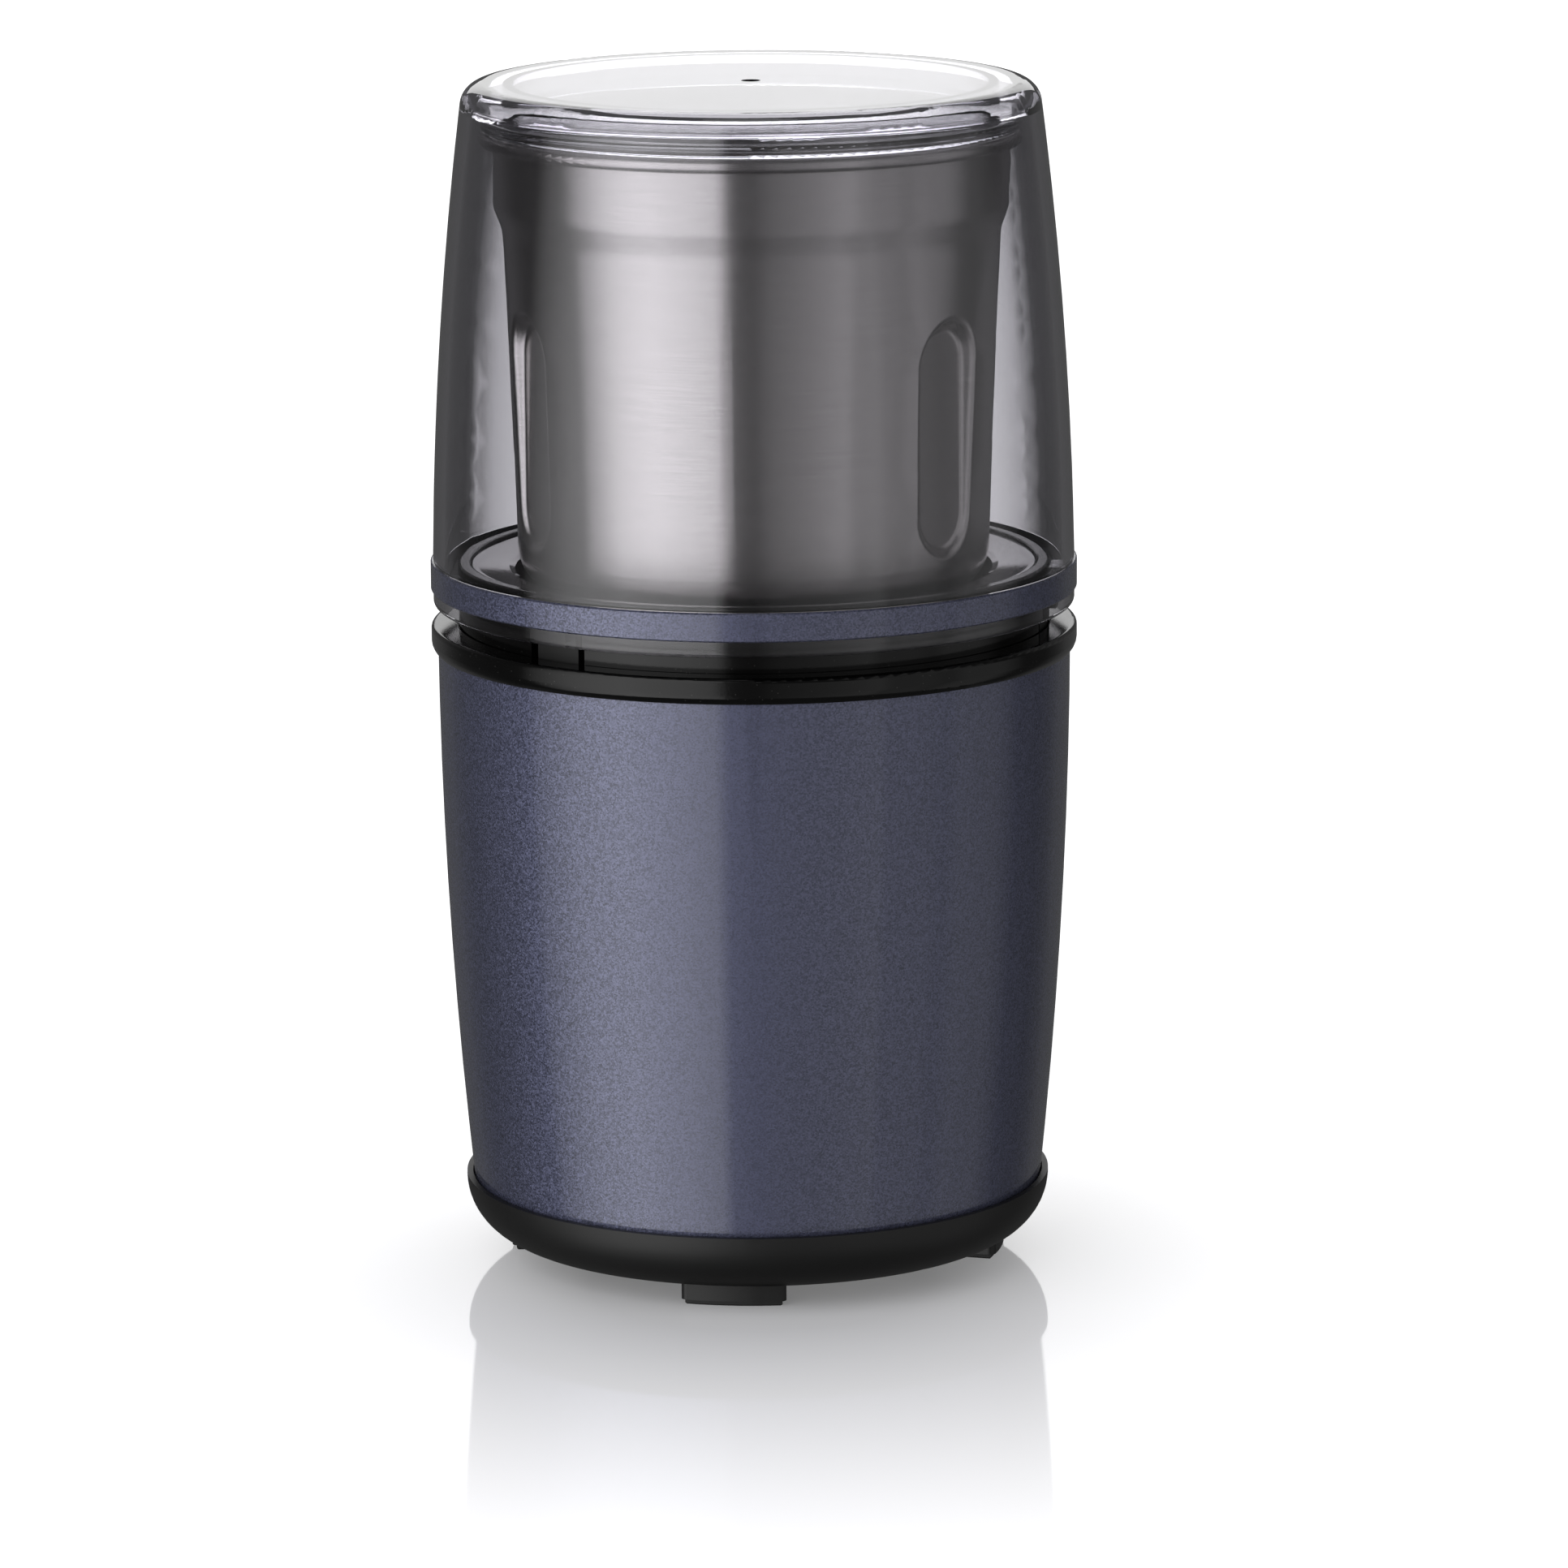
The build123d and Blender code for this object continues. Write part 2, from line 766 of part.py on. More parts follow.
with BuildPart() as deck_housing:
    with BuildSketch(Plane.XZ) as deck_section:
        section(ring_inner_radius, skirt_radius, flange_z, ring_top_z)
        section(ring_inner_radius, flange_radius, flange_z, shell_top_z)
        section(down_skirt_radius - down_skirt_wall, down_skirt_radius, down_skirt_z, flange_z + root_depth)
        section(well_radius, ring_inner_radius + root_depth, shelf_top_z - shelf_thickness, shelf_top_z)
        section(well_radius, well_outer_radius, deck_underside_z, shelf_top_z)
        section(drive_hole_radius, well_outer_radius, deck_underside_z, well_floor_z)
        section(
            drive_hole_radius,
            drive_hole_radius + spill_collar_wall,
            deck_underside_z,
            well_floor_z + spill_collar_height,
        )
        fillet(deck_section.vertices().group_by(Axis.Y)[-1], deck_edge_round)
    revolve(axis=Axis.Z)
    # keepers that the bowl's lugs turn under
    with BuildSketch(Plane.XY.offset(keeper_z)):
        for bearing in bearings(lug_count, flute_bearing + 180.0 / lug_count):
            sector(base_ring_radius + keeper_clearance, well_radius + well_wall / 2, bearing, keeper_angle)
    extrude(amount=keeper_thickness)
    # windows for the press paddles
    with BuildSketch(Plane.XY.offset(window_z)):
        for bearing in window_bearings:
            sector(ring_inner_radius - cut_past, skirt_radius + cut_past, bearing, window_angle)
    extrude(amount=window_height, mode=Mode.SUBTRACT)
    # screw posts inside the down-skirt
    with BuildSketch(Plane.XY.offset(carrier_top_z)):
        with Locations(*post_spots):
            Circle(post_radius)
    extrude(amount=flange_z + root_depth - carrier_top_z)
    with BuildSketch(Plane.XY.offset(down_skirt_z)):
        for bearing in post_bearings:
            sector(post_circle, down_skirt_radius - down_skirt_wall / 2, bearing, post_web_angle)
    extrude(amount=flange_z + root_depth - down_skirt_z)
    with BuildSketch(Plane.XY.offset(carrier_top_z)):
        with Locations(*post_spots):
            Circle(screw_radius + thread_gap)
    extrude(amount=flange_z - root_depth - carrier_top_z, mode=Mode.SUBTRACT)
save(deck_housing.part, "deck_housing")

with BuildPart() as deck_dish:
    with BuildSketch(Plane.XZ):
        dish_rim_r = ring_inner_radius - seat_gap
        dish_bend_r = dish_hole_radius + dish_thickness
        with BuildLine():
            Polyline(
                (dish_rim_r, shelf_top_z),
                (dish_rim_r, shelf_top_z + dish_thickness + dish_fall),
                (dish_rim_r - dish_flat_rim, shelf_top_z + dish_thickness + dish_fall),
                (dish_bend_r + dish_bend, shelf_top_z + dish_thickness),
                (dish_hole_radius, shelf_top_z + dish_thickness - dish_bend),
                (dish_hole_radius, shelf_top_z - dish_hem_depth),
                (dish_bend_r, shelf_top_z - dish_hem_depth),
                (dish_bend_r, shelf_top_z),
                close=True,
            )
        make_face()
    revolve(axis=Axis.Z)
save(deck_dish.part, "deck_dish")

with BuildPart() as motor_carrier:
    with BuildSketch(Plane.XY.offset(carrier_z)):
        Circle(carrier_radius)
        Circle(carrier_bore_radius, mode=Mode.SUBTRACT)
        with PolarLocations(carrier_window_circle, 4):
            RectangleRounded(*carrier_window, mode=Mode.SUBTRACT)
    extrude(amount=carrier_thickness)
    with BuildSketch(Plane.XY.offset(carrier_z - mount_boss_depth)):
        with Locations(*mount_screw_spots):
            Circle(mount_boss_radius)
    extrude(amount=mount_boss_depth)
    with BuildSketch(Plane.XY.offset(carrier_top_z)):
        with Locations(*[spot(channel_radius, bearing) for bearing in spring_bearings]):
            Circle(spring_peg_radius)
    extrude(amount=spring_peg_height)
    with BuildSketch(Plane.XY.offset(carrier_z - mount_boss_depth)):
        with Locations(*mount_screw_spots):
            Circle(screw_radius + screw_gap)
        with Locations(*post_spots):
            Circle(screw_radius + screw_gap)
    extrude(amount=mount_boss_depth + carrier_thickness, mode=Mode.SUBTRACT)
    with BuildSketch(Plane.XY.offset(carrier_top_z)):
        with Locations(*mount_screw_spots):
            Circle(screw_head_radius + part_gap)
    extrude(amount=-screw_head_height, mode=Mode.SUBTRACT)
save(motor_carrier.part, "motor_carrier")

carrier_screw_tip_z = flange_z - root_depth - 2 * screw_tip_gap
save(screws(post_spots, ear_z, carrier_screw_tip_z - ear_z), "carrier_screws")
motor_screw_seat_z = carrier_top_z - screw_head_height
motor_screw_length = motor_screw_seat_z - upper_bracket_z
save(screws(mount_screw_spots, motor_screw_seat_z, -motor_screw_length), "motor_screws")

with BuildPart() as rubber_mounts:
    with BuildSketch(Plane.XY.offset(bracket_top_z)):
        with Locations(*mount_screw_spots):
            Circle(rubber_radius)
            Circle(screw_radius + part_gap, mode=Mode.SUBTRACT)
    extrude(amount=rubber_height)
save(rubber_mounts.part, "rubber_mounts")

# ----------------------------------------------------------------------------------------------
# Press ring, return springs and switch
# ----------------------------------------------------------------------------------------------

press_ring_inner = channel_radius - ring_wall / 2
press_ring_outer = channel_radius + ring_wall / 2
paddle_face_radius = skirt_radius - paddle_inset
switch_spot = spot(channel_radius - switch_inset, switch_bearing)
plunger_top_z = carrier_top_z + switch_height + press_travel + seat_gap
press_ring_top_z = press_ring_z + ring_thickness

with BuildPart() as press_ring:
    with BuildSketch(Plane.XZ):
        section(press_ring_inner, press_ring_outer, press_ring_z, press_ring_top_z)
    revolve(axis=Axis.Z)
    with BuildSketch(Plane.XY.offset(paddle_z)):
        for bearing in window_bearings:
            sector(press_ring_inner + paddle_root, paddle_face_radius, bearing, paddle_angle)
    extrude(amount=paddle_height + nose_height)
    with BuildSketch(Plane.XY.offset(nose_z)):
        for bearing in window_bearings:
            sector(paddle_face_radius - paddle_root, skirt_radius + nose_reach, bearing, nose_angle)
    extrude(amount=nose_height)
    with BuildSketch(Plane.XY.offset(plunger_top_z + part_gap)):
        with Locations(switch_spot):
            Circle(finger_radius)
    extrude(amount=press_ring_z + root_depth - plunger_top_z - part_gap)
save(press_ring.part, "press_ring")

spring_height = press_ring_z - carrier_top_z - 2 * (spring_wire_radius + seat_gap)
with BuildPart() as return_springs:
    for bearing in spring_bearings:
        centre = (*spot(channel_radius, bearing), carrier_top_z + spring_wire_radius + seat_gap)
        with BuildLine() as coil:
            Helix(spring_height / spring_turns, spring_height, spring_radius, center=centre)
        with BuildSketch(Plane(origin=coil.line @ 0, z_dir=coil.line % 0)):
            Circle(spring_wire_radius)
        sweep(path=coil.line, is_frenet=True)
save(return_springs.part, "return_springs")

with BuildPart() as switch_case:
    switch_plane = Plane(
        origin=(*switch_spot, carrier_top_z), x_dir=(*spot(1, switch_bearing), 0), z_dir=(0, 0, 1)
    )
    with BuildSketch(switch_plane):
        RectangleRounded(switch_depth, switch_length, switch_corner)
    extrude(amount=switch_height)
    with BuildSketch(switch_plane.offset(switch_height)):
        Circle(plunger_radius + seat_gap)
    extrude(amount=switch_floor - switch_height, mode=Mode.SUBTRACT)
    with BuildSketch(switch_plane.offset(switch_height)):
        with GridLocations(1, switch_rivet_span, 1, 2):
            Circle(switch_rivet_radius)
    extrude(amount=-2 * switch_floor, mode=Mode.SUBTRACT)
save(switch_case.part, "switch_case")

with BuildPart() as switch_plunger:
    with BuildSketch(Plane.XY.offset(plunger_top_z - plunger_length)):
        with Locations(switch_spot):
            Circle(plunger_radius)
    extrude(amount=plunger_length)
    fillet(switch_plunger.faces().sort_by(Axis.Z)[-1].edges(), plunger_round)
save(switch_plunger.part, "switch_plunger")

# ----------------------------------------------------------------------------------------------
# Motor, standing part
# ----------------------------------------------------------------------------------------------


def bracket_plate(extra_arm_reach=0.0):
    """Plan of a bearing bracket: a hub, four arms to the long bolts and, if asked, two brush arms."""
    Circle(bracket_hub_radius)
    for x, y in mount_screw_spots:
        angle = math.degrees(math.atan2(y, x))
        with Locations(Location((x / 2, y / 2, 0), (0, 0, angle))):
            Rectangle(math.hypot(x, y), bracket_arm_width)
        with Locations((x, y)):
            Circle(column_radius + bracket_pad_margin)
    if extra_arm_reach:
        Rectangle(2 * extra_arm_reach, brush_arm_width)


bearing_seat_radius = bearing_radius + seat_gap

with BuildPart() as upper_bracket:
    with BuildSketch(Plane.XY.offset(upper_bracket_z)):
        bracket_plate()
    extrude(amount=bracket_thickness)
    with BuildSketch(Plane.XY.offset(stack_top_z)):
        with Locations(*mount_screw_spots):
            Circle(column_radius)
    extrude(amount=upper_column_height)
    with BuildSketch(Plane.XY.offset(upper_bracket_z)):
        Circle(bearing_cup_radius)
    extrude(amount=bearing_height + bearing_seat_floor)
    with BuildSketch(Plane.XY.offset(upper_bracket_z)):
        Circle(bearing_seat_radius)
    extrude(amount=bearing_height, mode=Mode.SUBTRACT)
    with BuildSketch(Plane.XY.offset(upper_bracket_z)):
        Circle(shaft_radius + shaft_clearance)
    extrude(amount=2 * bearing_height, mode=Mode.SUBTRACT)
    with BuildSketch(Plane.XY.offset(stack_top_z)):
        with Locations(*mount_screw_spots):
            Circle(screw_radius + thread_gap)
    extrude(amount=upper_column_height + bracket_thickness, mode=Mode.SUBTRACT)
save(upper_bracket.part, "upper_bracket")

brush_z = lower_bracket_z + bracket_thickness + brush_height_above_bracket
brush_arm_reach = commutator_radius + holder_length + brush_arm_margin
lower_bearing_z = lower_bracket_z + bearing_seat_floor

with BuildPart() as lower_bracket:
    with BuildSketch(Plane.XY.offset(lower_bracket_z)):
        bracket_plate(brush_arm_reach)
    extrude(amount=bracket_thickness)
    with BuildSketch(Plane.XY.offset(lower_bracket_z)):
        with Locations(*mount_screw_spots):
            Circle(column_radius)
    extrude(amount=lower_column_height + bracket_thickness)
    with BuildSketch(Plane.XY.offset(lower_bracket_z)):
        Circle(bearing_cup_radius)
    extrude(amount=bearing_height + bearing_seat_floor)
    with BuildSketch(Plane.XY.offset(lower_bearing_z)):
        Circle(bearing_seat_radius)
    extrude(amount=bearing_height, mode=Mode.SUBTRACT)
    with BuildSketch(Plane.XY.offset(lower_bracket_z)):
        Circle(shaft_radius + shaft_clearance)
        with Locations(*mount_screw_spots):
            Circle(screw_radius + screw_gap)
    extrude(amount=lower_column_height + bracket_thickness, mode=Mode.SUBTRACT)
save(lower_bracket.part, "lower_bracket")

upper_bearing = ring_part(
    shaft_radius + running_gap,
    bearing_radius,
    upper_bracket_z,
    upper_bracket_z + bearing_height,
    bearing_chamfer,
)
save(upper_bearing, "upper_bearing")
lower_bearing = ring_part(
    shaft_radius + running_gap,
    bearing_radius,
    lower_bearing_z,
    lower_bearing_z + bearing_height,
    bearing_chamfer,
)
save(lower_bearing, "lower_bearing")

shoe_radius = stator_bore_radius + shoe_thickness

with BuildPart() as stator_core:
    with BuildSketch(Plane.XY.offset(stack_z)):
        RectangleRounded(2 * stator_half_x, 2 * stator_half_y, stator_corner)
        Circle(stator_bore_radius, mode=Mode.SUBTRACT)
        pocket_y = (pole_half_width + pocket_half_y) / 2
        with Locations((0, pocket_y), (0, -pocket_y)):
            Rectangle(2 * pocket_half_x, pocket_half_y - pole_half_width, mode=Mode.SUBTRACT)
        for bearing in (90.0, 270.0):
            sector(stator_bore_radius, shoe_radius, bearing, 2 * shoe_half_angle)
        with Locations(*mount_screw_spots):
            Circle(screw_radius + screw_gap, mode=Mode.SUBTRACT)
    extrude(amount=stack_height)
save(stator_core.part, "stator_core")

coil_inner_x = shoe_radius + coil_gap
coil_outer_x = pocket_half_x - coil_gap
coil_inner_y = pole_half_width + coil_gap
coil_outer_y = coil_inner_y + coil_side
coil_mid_z = stack_z + stack_height / 2

with BuildPart() as field_coils:
    for side in (-1, 1):
        with BuildSketch(Plane.YZ.offset(side * coil_inner_x)):
            with Locations((0, coil_mid_z)):
                RectangleRounded(2 * coil_outer_y, stack_height + 2 * coil_overhang, coil_corner)
                RectangleRounded(
                    2 * coil_inner_y, stack_height + 2 * coil_gap, coil_inner_corner, mode=Mode.SUBTRACT
                )
        extrude(amount=side * (coil_outer_x - coil_inner_x))
save(field_coils.part, "field_coils")

bolt_length = stack_top_z + bolt_grip - lower_bracket_z
save(screws(mount_screw_spots, lower_bracket_z, bolt_length, head=bolt_head_radius), "stator_bolts")

brush_width, brush_height = brush_size
brush_tip_x = commutator_radius + part_gap
holder_x = brush_tip_x + holder_setback
holder_foot_x = holder_x + holder_length / 2 + holder_foot_shift
holder_end_x = holder_x + holder_length
brush_end_x = brush_tip_x + brush_length
foot_plane_z = lower_bracket_z + bracket_thickness

with BuildPart() as brush_holders:
    for side in (-1, 1):
        with BuildSketch(Plane.YZ.offset(side * holder_x)):
            with Locations((0, brush_z)):
                Rectangle(brush_width + 2 * holder_wall, brush_height + 2 * holder_wall)
                Rectangle(brush_width + 2 * seat_gap, brush_height + 2 * seat_gap, mode=Mode.SUBTRACT)
        extrude(amount=side * holder_length)
        with BuildSketch(Plane.XY.offset(foot_plane_z)):
            with Locations((side * holder_foot_x, 0)):
                Rectangle(holder_foot_length, holder_wall)
        extrude(amount=brush_z - brush_height / 2 - holder_wall / 2 - foot_plane_z)
        with BuildSketch(Plane.XY.offset(foot_plane_z)):
            with Locations((side * holder_foot_x, 0)):
                Rectangle(holder_foot_length, bracket_arm_width)
        extrude(amount=holder_wall)
save(brush_holders.part, "brush_holders")

with BuildPart() as carbon_brushes:
    for side in (-1, 1):
        with BuildSketch(Plane.YZ.offset(side * brush_tip_x)):
            with Locations((0, brush_z)):
                Rectangle(brush_width, brush_height)
        extrude(amount=side * brush_length)
save(carbon_brushes.part, "carbon_brushes")

cap_face_x = holder_end_x - brush_cap_depth
with BuildPart() as brush_caps:
    for side in (-1, 1):
        with BuildSketch(Plane.YZ.offset(side * cap_face_x)):
            with Locations((0, brush_z)):
                Rectangle(brush_width, brush_height)
        extrude(amount=side * (brush_cap_depth + seat_gap / 2 + brush_cap_lip / 2))
        with BuildSketch(Plane.YZ.offset(side * (holder_end_x + seat_gap / 2))):
            with Locations((0, brush_z)):
                Rectangle(brush_width + 2 * holder_wall, brush_height + 2 * holder_wall)
        extrude(amount=side * brush_cap_lip)
save(brush_caps.part, "brush_caps")

brush_spring_length = cap_face_x - brush_end_x - 2 * (brush_spring_wire + seat_gap)
brush_spring_start = brush_end_x + brush_spring_wire + seat_gap
with BuildPart() as brush_springs:
    for side in (-1, 1):
        with BuildLine() as brush_coil:
            Helix(
                brush_spring_length / brush_spring_turns,
                brush_spring_length,
                brush_spring_radius,
                center=(side * brush_spring_start, 0, brush_z),
                direction=(side, 0, 0),
            )
        with BuildSketch(Plane(origin=brush_coil.line @ 0, z_dir=brush_coil.line % 0)):
            Circle(brush_spring_wire)
        sweep(path=brush_coil.line, is_frenet=True)
save(brush_springs.part, "brush_springs")

with BuildPart() as thermal_cutout:
    with BuildSketch(Plane.XY.offset(stack_top_z)):
        with Locations((pocket_half_x + cutout_offset, 0)):
            RectangleRounded(cutout_size[0], cutout_size[1], cutout_corner)
    extrude(amount=cutout_size[2])
save(thermal_cutout.part, "thermal_cutout")

# ----------------------------------------------------------------------------------------------
# Rotor
# ----------------------------------------------------------------------------------------------

shaft_top_z = drive_top_z - drive_roof
shaft_bottom_z = fan_z

with BuildPart() as motor_shaft:
    with BuildSketch(Plane.XY.offset(shaft_bottom_z)):
        Circle(shaft_radius)
    extrude(amount=shaft_top_z - shaft_bottom_z)
    chamfer(motor_shaft.edges().filter_by(GeomType.CIRCLE), shaft_chamfer)
save(motor_shaft.part, "motor_shaft")

with BuildPart() as armature_core:
    with BuildSketch(Plane.XY.offset(stack_z)):
        Circle(armature_radius)
        Circle(shaft_radius + thread_gap, mode=Mode.SUBTRACT)
        with PolarLocations(armature_radius - slot_depth / 2, armature_slots):
            Rectangle(slot_depth, slot_width, mode=Mode.SUBTRACT)
    extrude(amount=stack_height)
save(armature_core.part, "armature_core")

with BuildPart() as armature_windings:
    with BuildSketch(Plane.XZ) as end_turns:
        inner_r = shaft_radius + winding_clearance
        section(inner_r, winding_radius, stack_top_z, stack_top_z + winding_overhang)
        section(inner_r, winding_radius, stack_z - winding_overhang, stack_z)
        ends = end_turns.vertices().sort_by(Axis.Y)
        fillet([ends[0], ends[1], ends[-1], ends[-2]], winding_overhang / 3)
    revolve(axis=Axis.Z)
    with BuildSketch(Plane.XY.offset(stack_z - root_depth)):
        slot_fill_depth = slot_depth - slot_wedge
        slot_fill_middle = armature_radius - slot_depth + seat_gap + slot_fill_depth / 2
        with PolarLocations(slot_fill_middle, armature_slots):
            Rectangle(slot_fill_depth, slot_width - 2 * seat_gap)
    extrude(amount=stack_height + 2 * root_depth)
save(armature_windings.part, "armature_windings")

with BuildPart() as commutator:
    with BuildSketch(Plane.XY.offset(commutator_z)):
        Circle(commutator_radius)
        Circle(shaft_radius + thread_gap, mode=Mode.SUBTRACT)
    extrude(amount=commutator_height)
    with BuildSketch(Plane.XY.offset(commutator_z + commutator_height)):
        Circle(riser_radius)
        Circle(shaft_radius + thread_gap, mode=Mode.SUBTRACT)
    extrude(amount=-riser_height)
    with BuildSketch(Plane.XY.offset(commutator_z)):
        with PolarLocations(riser_radius, commutator_bars):
            Rectangle(2 * (riser_radius - commutator_radius + bar_slot_depth), bar_slot_width)
    extrude(amount=commutator_height, mode=Mode.SUBTRACT)
save(commutator.part, "commutator")

with BuildPart() as cooling_fan:
    with BuildSketch(Plane.XY.offset(fan_z)):
        Circle(fan_radius)
        Circle(shaft_radius + thread_gap, mode=Mode.SUBTRACT)
    extrude(amount=fan_disc)
    with BuildSketch(Plane.XY.offset(fan_z)):
        Circle(fan_hub_radius)
        Circle(shaft_radius + thread_gap, mode=Mode.SUBTRACT)
    extrude(amount=fan_disc + fan_blade_height)
    with BuildSketch(Plane.XY.offset(fan_z + fan_disc)):
        vane_middle = ((fan_vane_inner + fan_radius - fan_vane_margin) / 2, 0, 0)
        for angle in bearings(fan_blades, 0.0):
            with Locations(Location((0, 0, 0), (0, 0, angle)) * Location(vane_middle, (0, 0, fan_vane_lean))):
                Rectangle(fan_radius - fan_vane_margin - fan_vane_inner, fan_vane_thickness)
    extrude(amount=fan_blade_height)
save(cooling_fan.part, "cooling_fan")


def spline_plan(root, tip, width):
    """Plan of the drive spline: a round core with straight teeth."""
    Circle(root)
    with PolarLocations(tip / 2, spline_count):
        Rectangle(tip, width)


with BuildPart() as drive_coupling:
    with BuildSketch(Plane.XY.offset(drive_flange_z)):
        Circle(drive_flange_radius)
    extrude(amount=drive_flange_thickness)
    with BuildSketch(Plane.XY.offset(drive_flange_z)):
        spline_plan(spline_root_radius, spline_tip_radius, spline_width)
    extrude(amount=drive_top_z - drive_flange_z)
    chamfer(drive_coupling.faces().sort_by(Axis.Z)[-1].edges(), spline_chamfer)
    with BuildSketch(Plane.XY.offset(drive_flange_z)):
        Circle(shaft_radius + thread_gap)
    extrude(amount=shaft_top_z + thread_gap - drive_flange_z, mode=Mode.SUBTRACT)
save(drive_coupling.part, "drive_coupling")

# ----------------------------------------------------------------------------------------------
# Bowl
# ----------------------------------------------------------------------------------------------

shoulder_z = bowl_floor_z + bowl_shoulder_height
neck_z = bowl_floor_z + bowl_neck_height
bead_z = bowl_rim_z - rim_bead_radius
bead_r = bowl_neck_radius + rim_bead_radius
corner_top_z = bowl_floor_z + bowl_corner_radius
bowl_waist_z = (corner_top_z + shoulder_z) / 2
flute_z = bowl_floor_z + flute_centre_height


def bowl_outline(inset):
    """Half section of the bowl, moved in by the inset, closed along the axis."""
    floor_z = bowl_floor_z + inset
    foot_r = bowl_foot_radius - inset
    corner_r = bowl_corner_radius - inset
    with BuildLine() as outline:
        Line((0, floor_z), (foot_r - corner_r, floor_z))
        corner = TangentArc((foot_r - corner_r, floor_z), (foot_r, corner_top_z), tangent=(1, 0))
        barrel = ThreePointArc(
            corner @ 1, (bowl_waist_radius - inset, bowl_waist_z), (bowl_shoulder_radius - inset, shoulder_z)
        )
        shoulder = Spline(
            barrel @ 1,
            ((bowl_shoulder_radius + bowl_neck_radius) / 2 - inset, (shoulder_z + neck_z) / 2),
            (bowl_neck_radius - inset, neck_z),
            tangents=(barrel % 1, (0, 1)),
        )
        Polyline(shoulder @ 1, (bowl_neck_radius - inset, bowl_rim_z), (0, bowl_rim_z), (0, floor_z))
    make_face(outline.edges())


def flute_plugs(grow):
    """Tapered round-ended plugs that press the grip flutes; the inner ones are larger by the wall, grow."""
    mouth_radius = bowl_shoulder_radius + root_depth
    floor_radius = bowl_waist_radius - flute_depth - grow
    spread = 2 * (mouth_radius - bowl_waist_radius) * math.tan(math.radians(flute_draft))
    mouth_width = flute_width + 2 * grow / math.cos(math.radians(flute_draft)) + spread
    length = flute_length - flute_width + mouth_width
    with BuildPart() as plugs:
        for bearing in bearings(flute_count, flute_bearing):
            x, y = spot(mouth_radius, bearing)
            face = Plane(origin=(x, y, flute_z), x_dir=(0, 0, 1), z_dir=(-x, -y, 0))
            with BuildSketch(face):
                SlotOverall(length, mouth_width)
            extrude(amount=mouth_radius - floor_radius, taper=flute_draft)
        floors = plugs.faces().filter_by(lambda face: abs(axis_distance(face.center()) - floor_radius) < 0.1)
        fillet(floors.edges(), flute_floor_round + grow)
    return plugs.part


def flute_mouths(part, inset):
    """Edges where the pressed flutes meet the barrel of a solid moved in by the inset."""
    inside_barrel = bowl_foot_radius - inset - part_gap
    edges = part.edges().filter_by(GeomType.CIRCLE, reverse=True)
    edges = edges.filter_by(lambda edge: corner_top_z < edge.center().Z < shoulder_z)
    return edges.filter_by(lambda edge: axis_distance(edge @ 0.5) > inside_barrel)


with BuildPart() as bowl_cavity:
    with BuildSketch(Plane.XZ):
        bowl_outline(bowl_wall)
    revolve(axis=Axis.Z)
    add(flute_plugs(bowl_wall), mode=Mode.SUBTRACT)
    fillet(flute_mouths(bowl_cavity, bowl_wall), flute_mouth_round - bowl_wall)
    with BuildSketch(Plane.XZ):
        section(0, bowl_neck_radius - bowl_wall, bowl_rim_z - root_depth, bowl_rim_z + root_depth)
    revolve(axis=Axis.Z)

with BuildPart() as bowl_shell:
    with BuildSketch(Plane.XZ):
        bowl_outline(0.0)
    revolve(axis=Axis.Z)
    add(flute_plugs(0.0), mode=Mode.SUBTRACT)
    fillet(flute_mouths(bowl_shell, 0.0), flute_mouth_round)
    with BuildSketch(Plane.XZ):
        with Locations((bead_r - bead_overlap, bead_z)):
            Circle(rim_bead_radius)
    revolve(axis=Axis.Z)
    add(bowl_cavity.part, mode=Mode.SUBTRACT)
    with BuildSketch(Plane.XY.offset(bowl_floor_z)):
        Circle(bush_radius + seat_gap)
        with Locations(*[spot(ring_screw_circle, bearing) for bearing in bearings(3, 0.0)]):
            Circle(screw_radius + screw_gap)
    extrude(amount=bowl_wall, mode=Mode.SUBTRACT)
save(bowl_shell.part, "bowl_shell")

lug_bearings = bearings(lug_count, flute_bearing)
ring_screw_bearings = bearings(rib_count // 2, 0.0)
ring_screw_spots = [spot(ring_screw_circle, bearing) for bearing in ring_screw_bearings]
base_ring_top_z = base_ring_z + base_ring_height
plate_z = base_ring_top_z - base_ring_plate
hub_wall_z = well_floor_z + spill_collar_height + hub_wall_gap

with BuildPart() as bowl_base_ring:
    with BuildSketch(Plane.XZ):
        section(base_ring_radius - base_ring_wall, base_ring_radius, base_ring_z, base_ring_top_z)
        section(hub_bore_radius, base_ring_radius, plate_z, base_ring_top_z)
        section(hub_bore_radius, hub_bore_radius + base_ring_wall, hub_wall_z, base_ring_top_z)
    revolve(axis=Axis.Z)
    with BuildSketch(Plane.XY.offset(base_ring_z)) as lugs:
        for bearing in lug_bearings:
            sector(base_ring_radius - base_ring_wall / 2, lug_radius, bearing, lug_angle)
    extrude(amount=lug_thickness)
    with BuildSketch(Plane.XY.offset(hub_wall_z)):
        rib_length = base_ring_radius - hub_bore_radius - 2 * base_ring_wall + root_depth
        rib_middle = (base_ring_radius + hub_bore_radius) / 2
        with PolarLocations(rib_middle, rib_count, start_angle=FRONT + 180 / rib_count):
            Rectangle(rib_length, rib_width)
        with Locations(*ring_screw_spots):
            Circle(screw_radius + ring_boss_wall)
    extrude(amount=base_ring_top_z - hub_wall_z)
    with BuildSketch(Plane.XY.offset(hub_wall_z)):
        with Locations(*ring_screw_spots):
            Circle(screw_radius + thread_gap)
    extrude(amount=base_ring_height, mode=Mode.SUBTRACT)
save(bowl_base_ring.part, "bowl_base_ring")

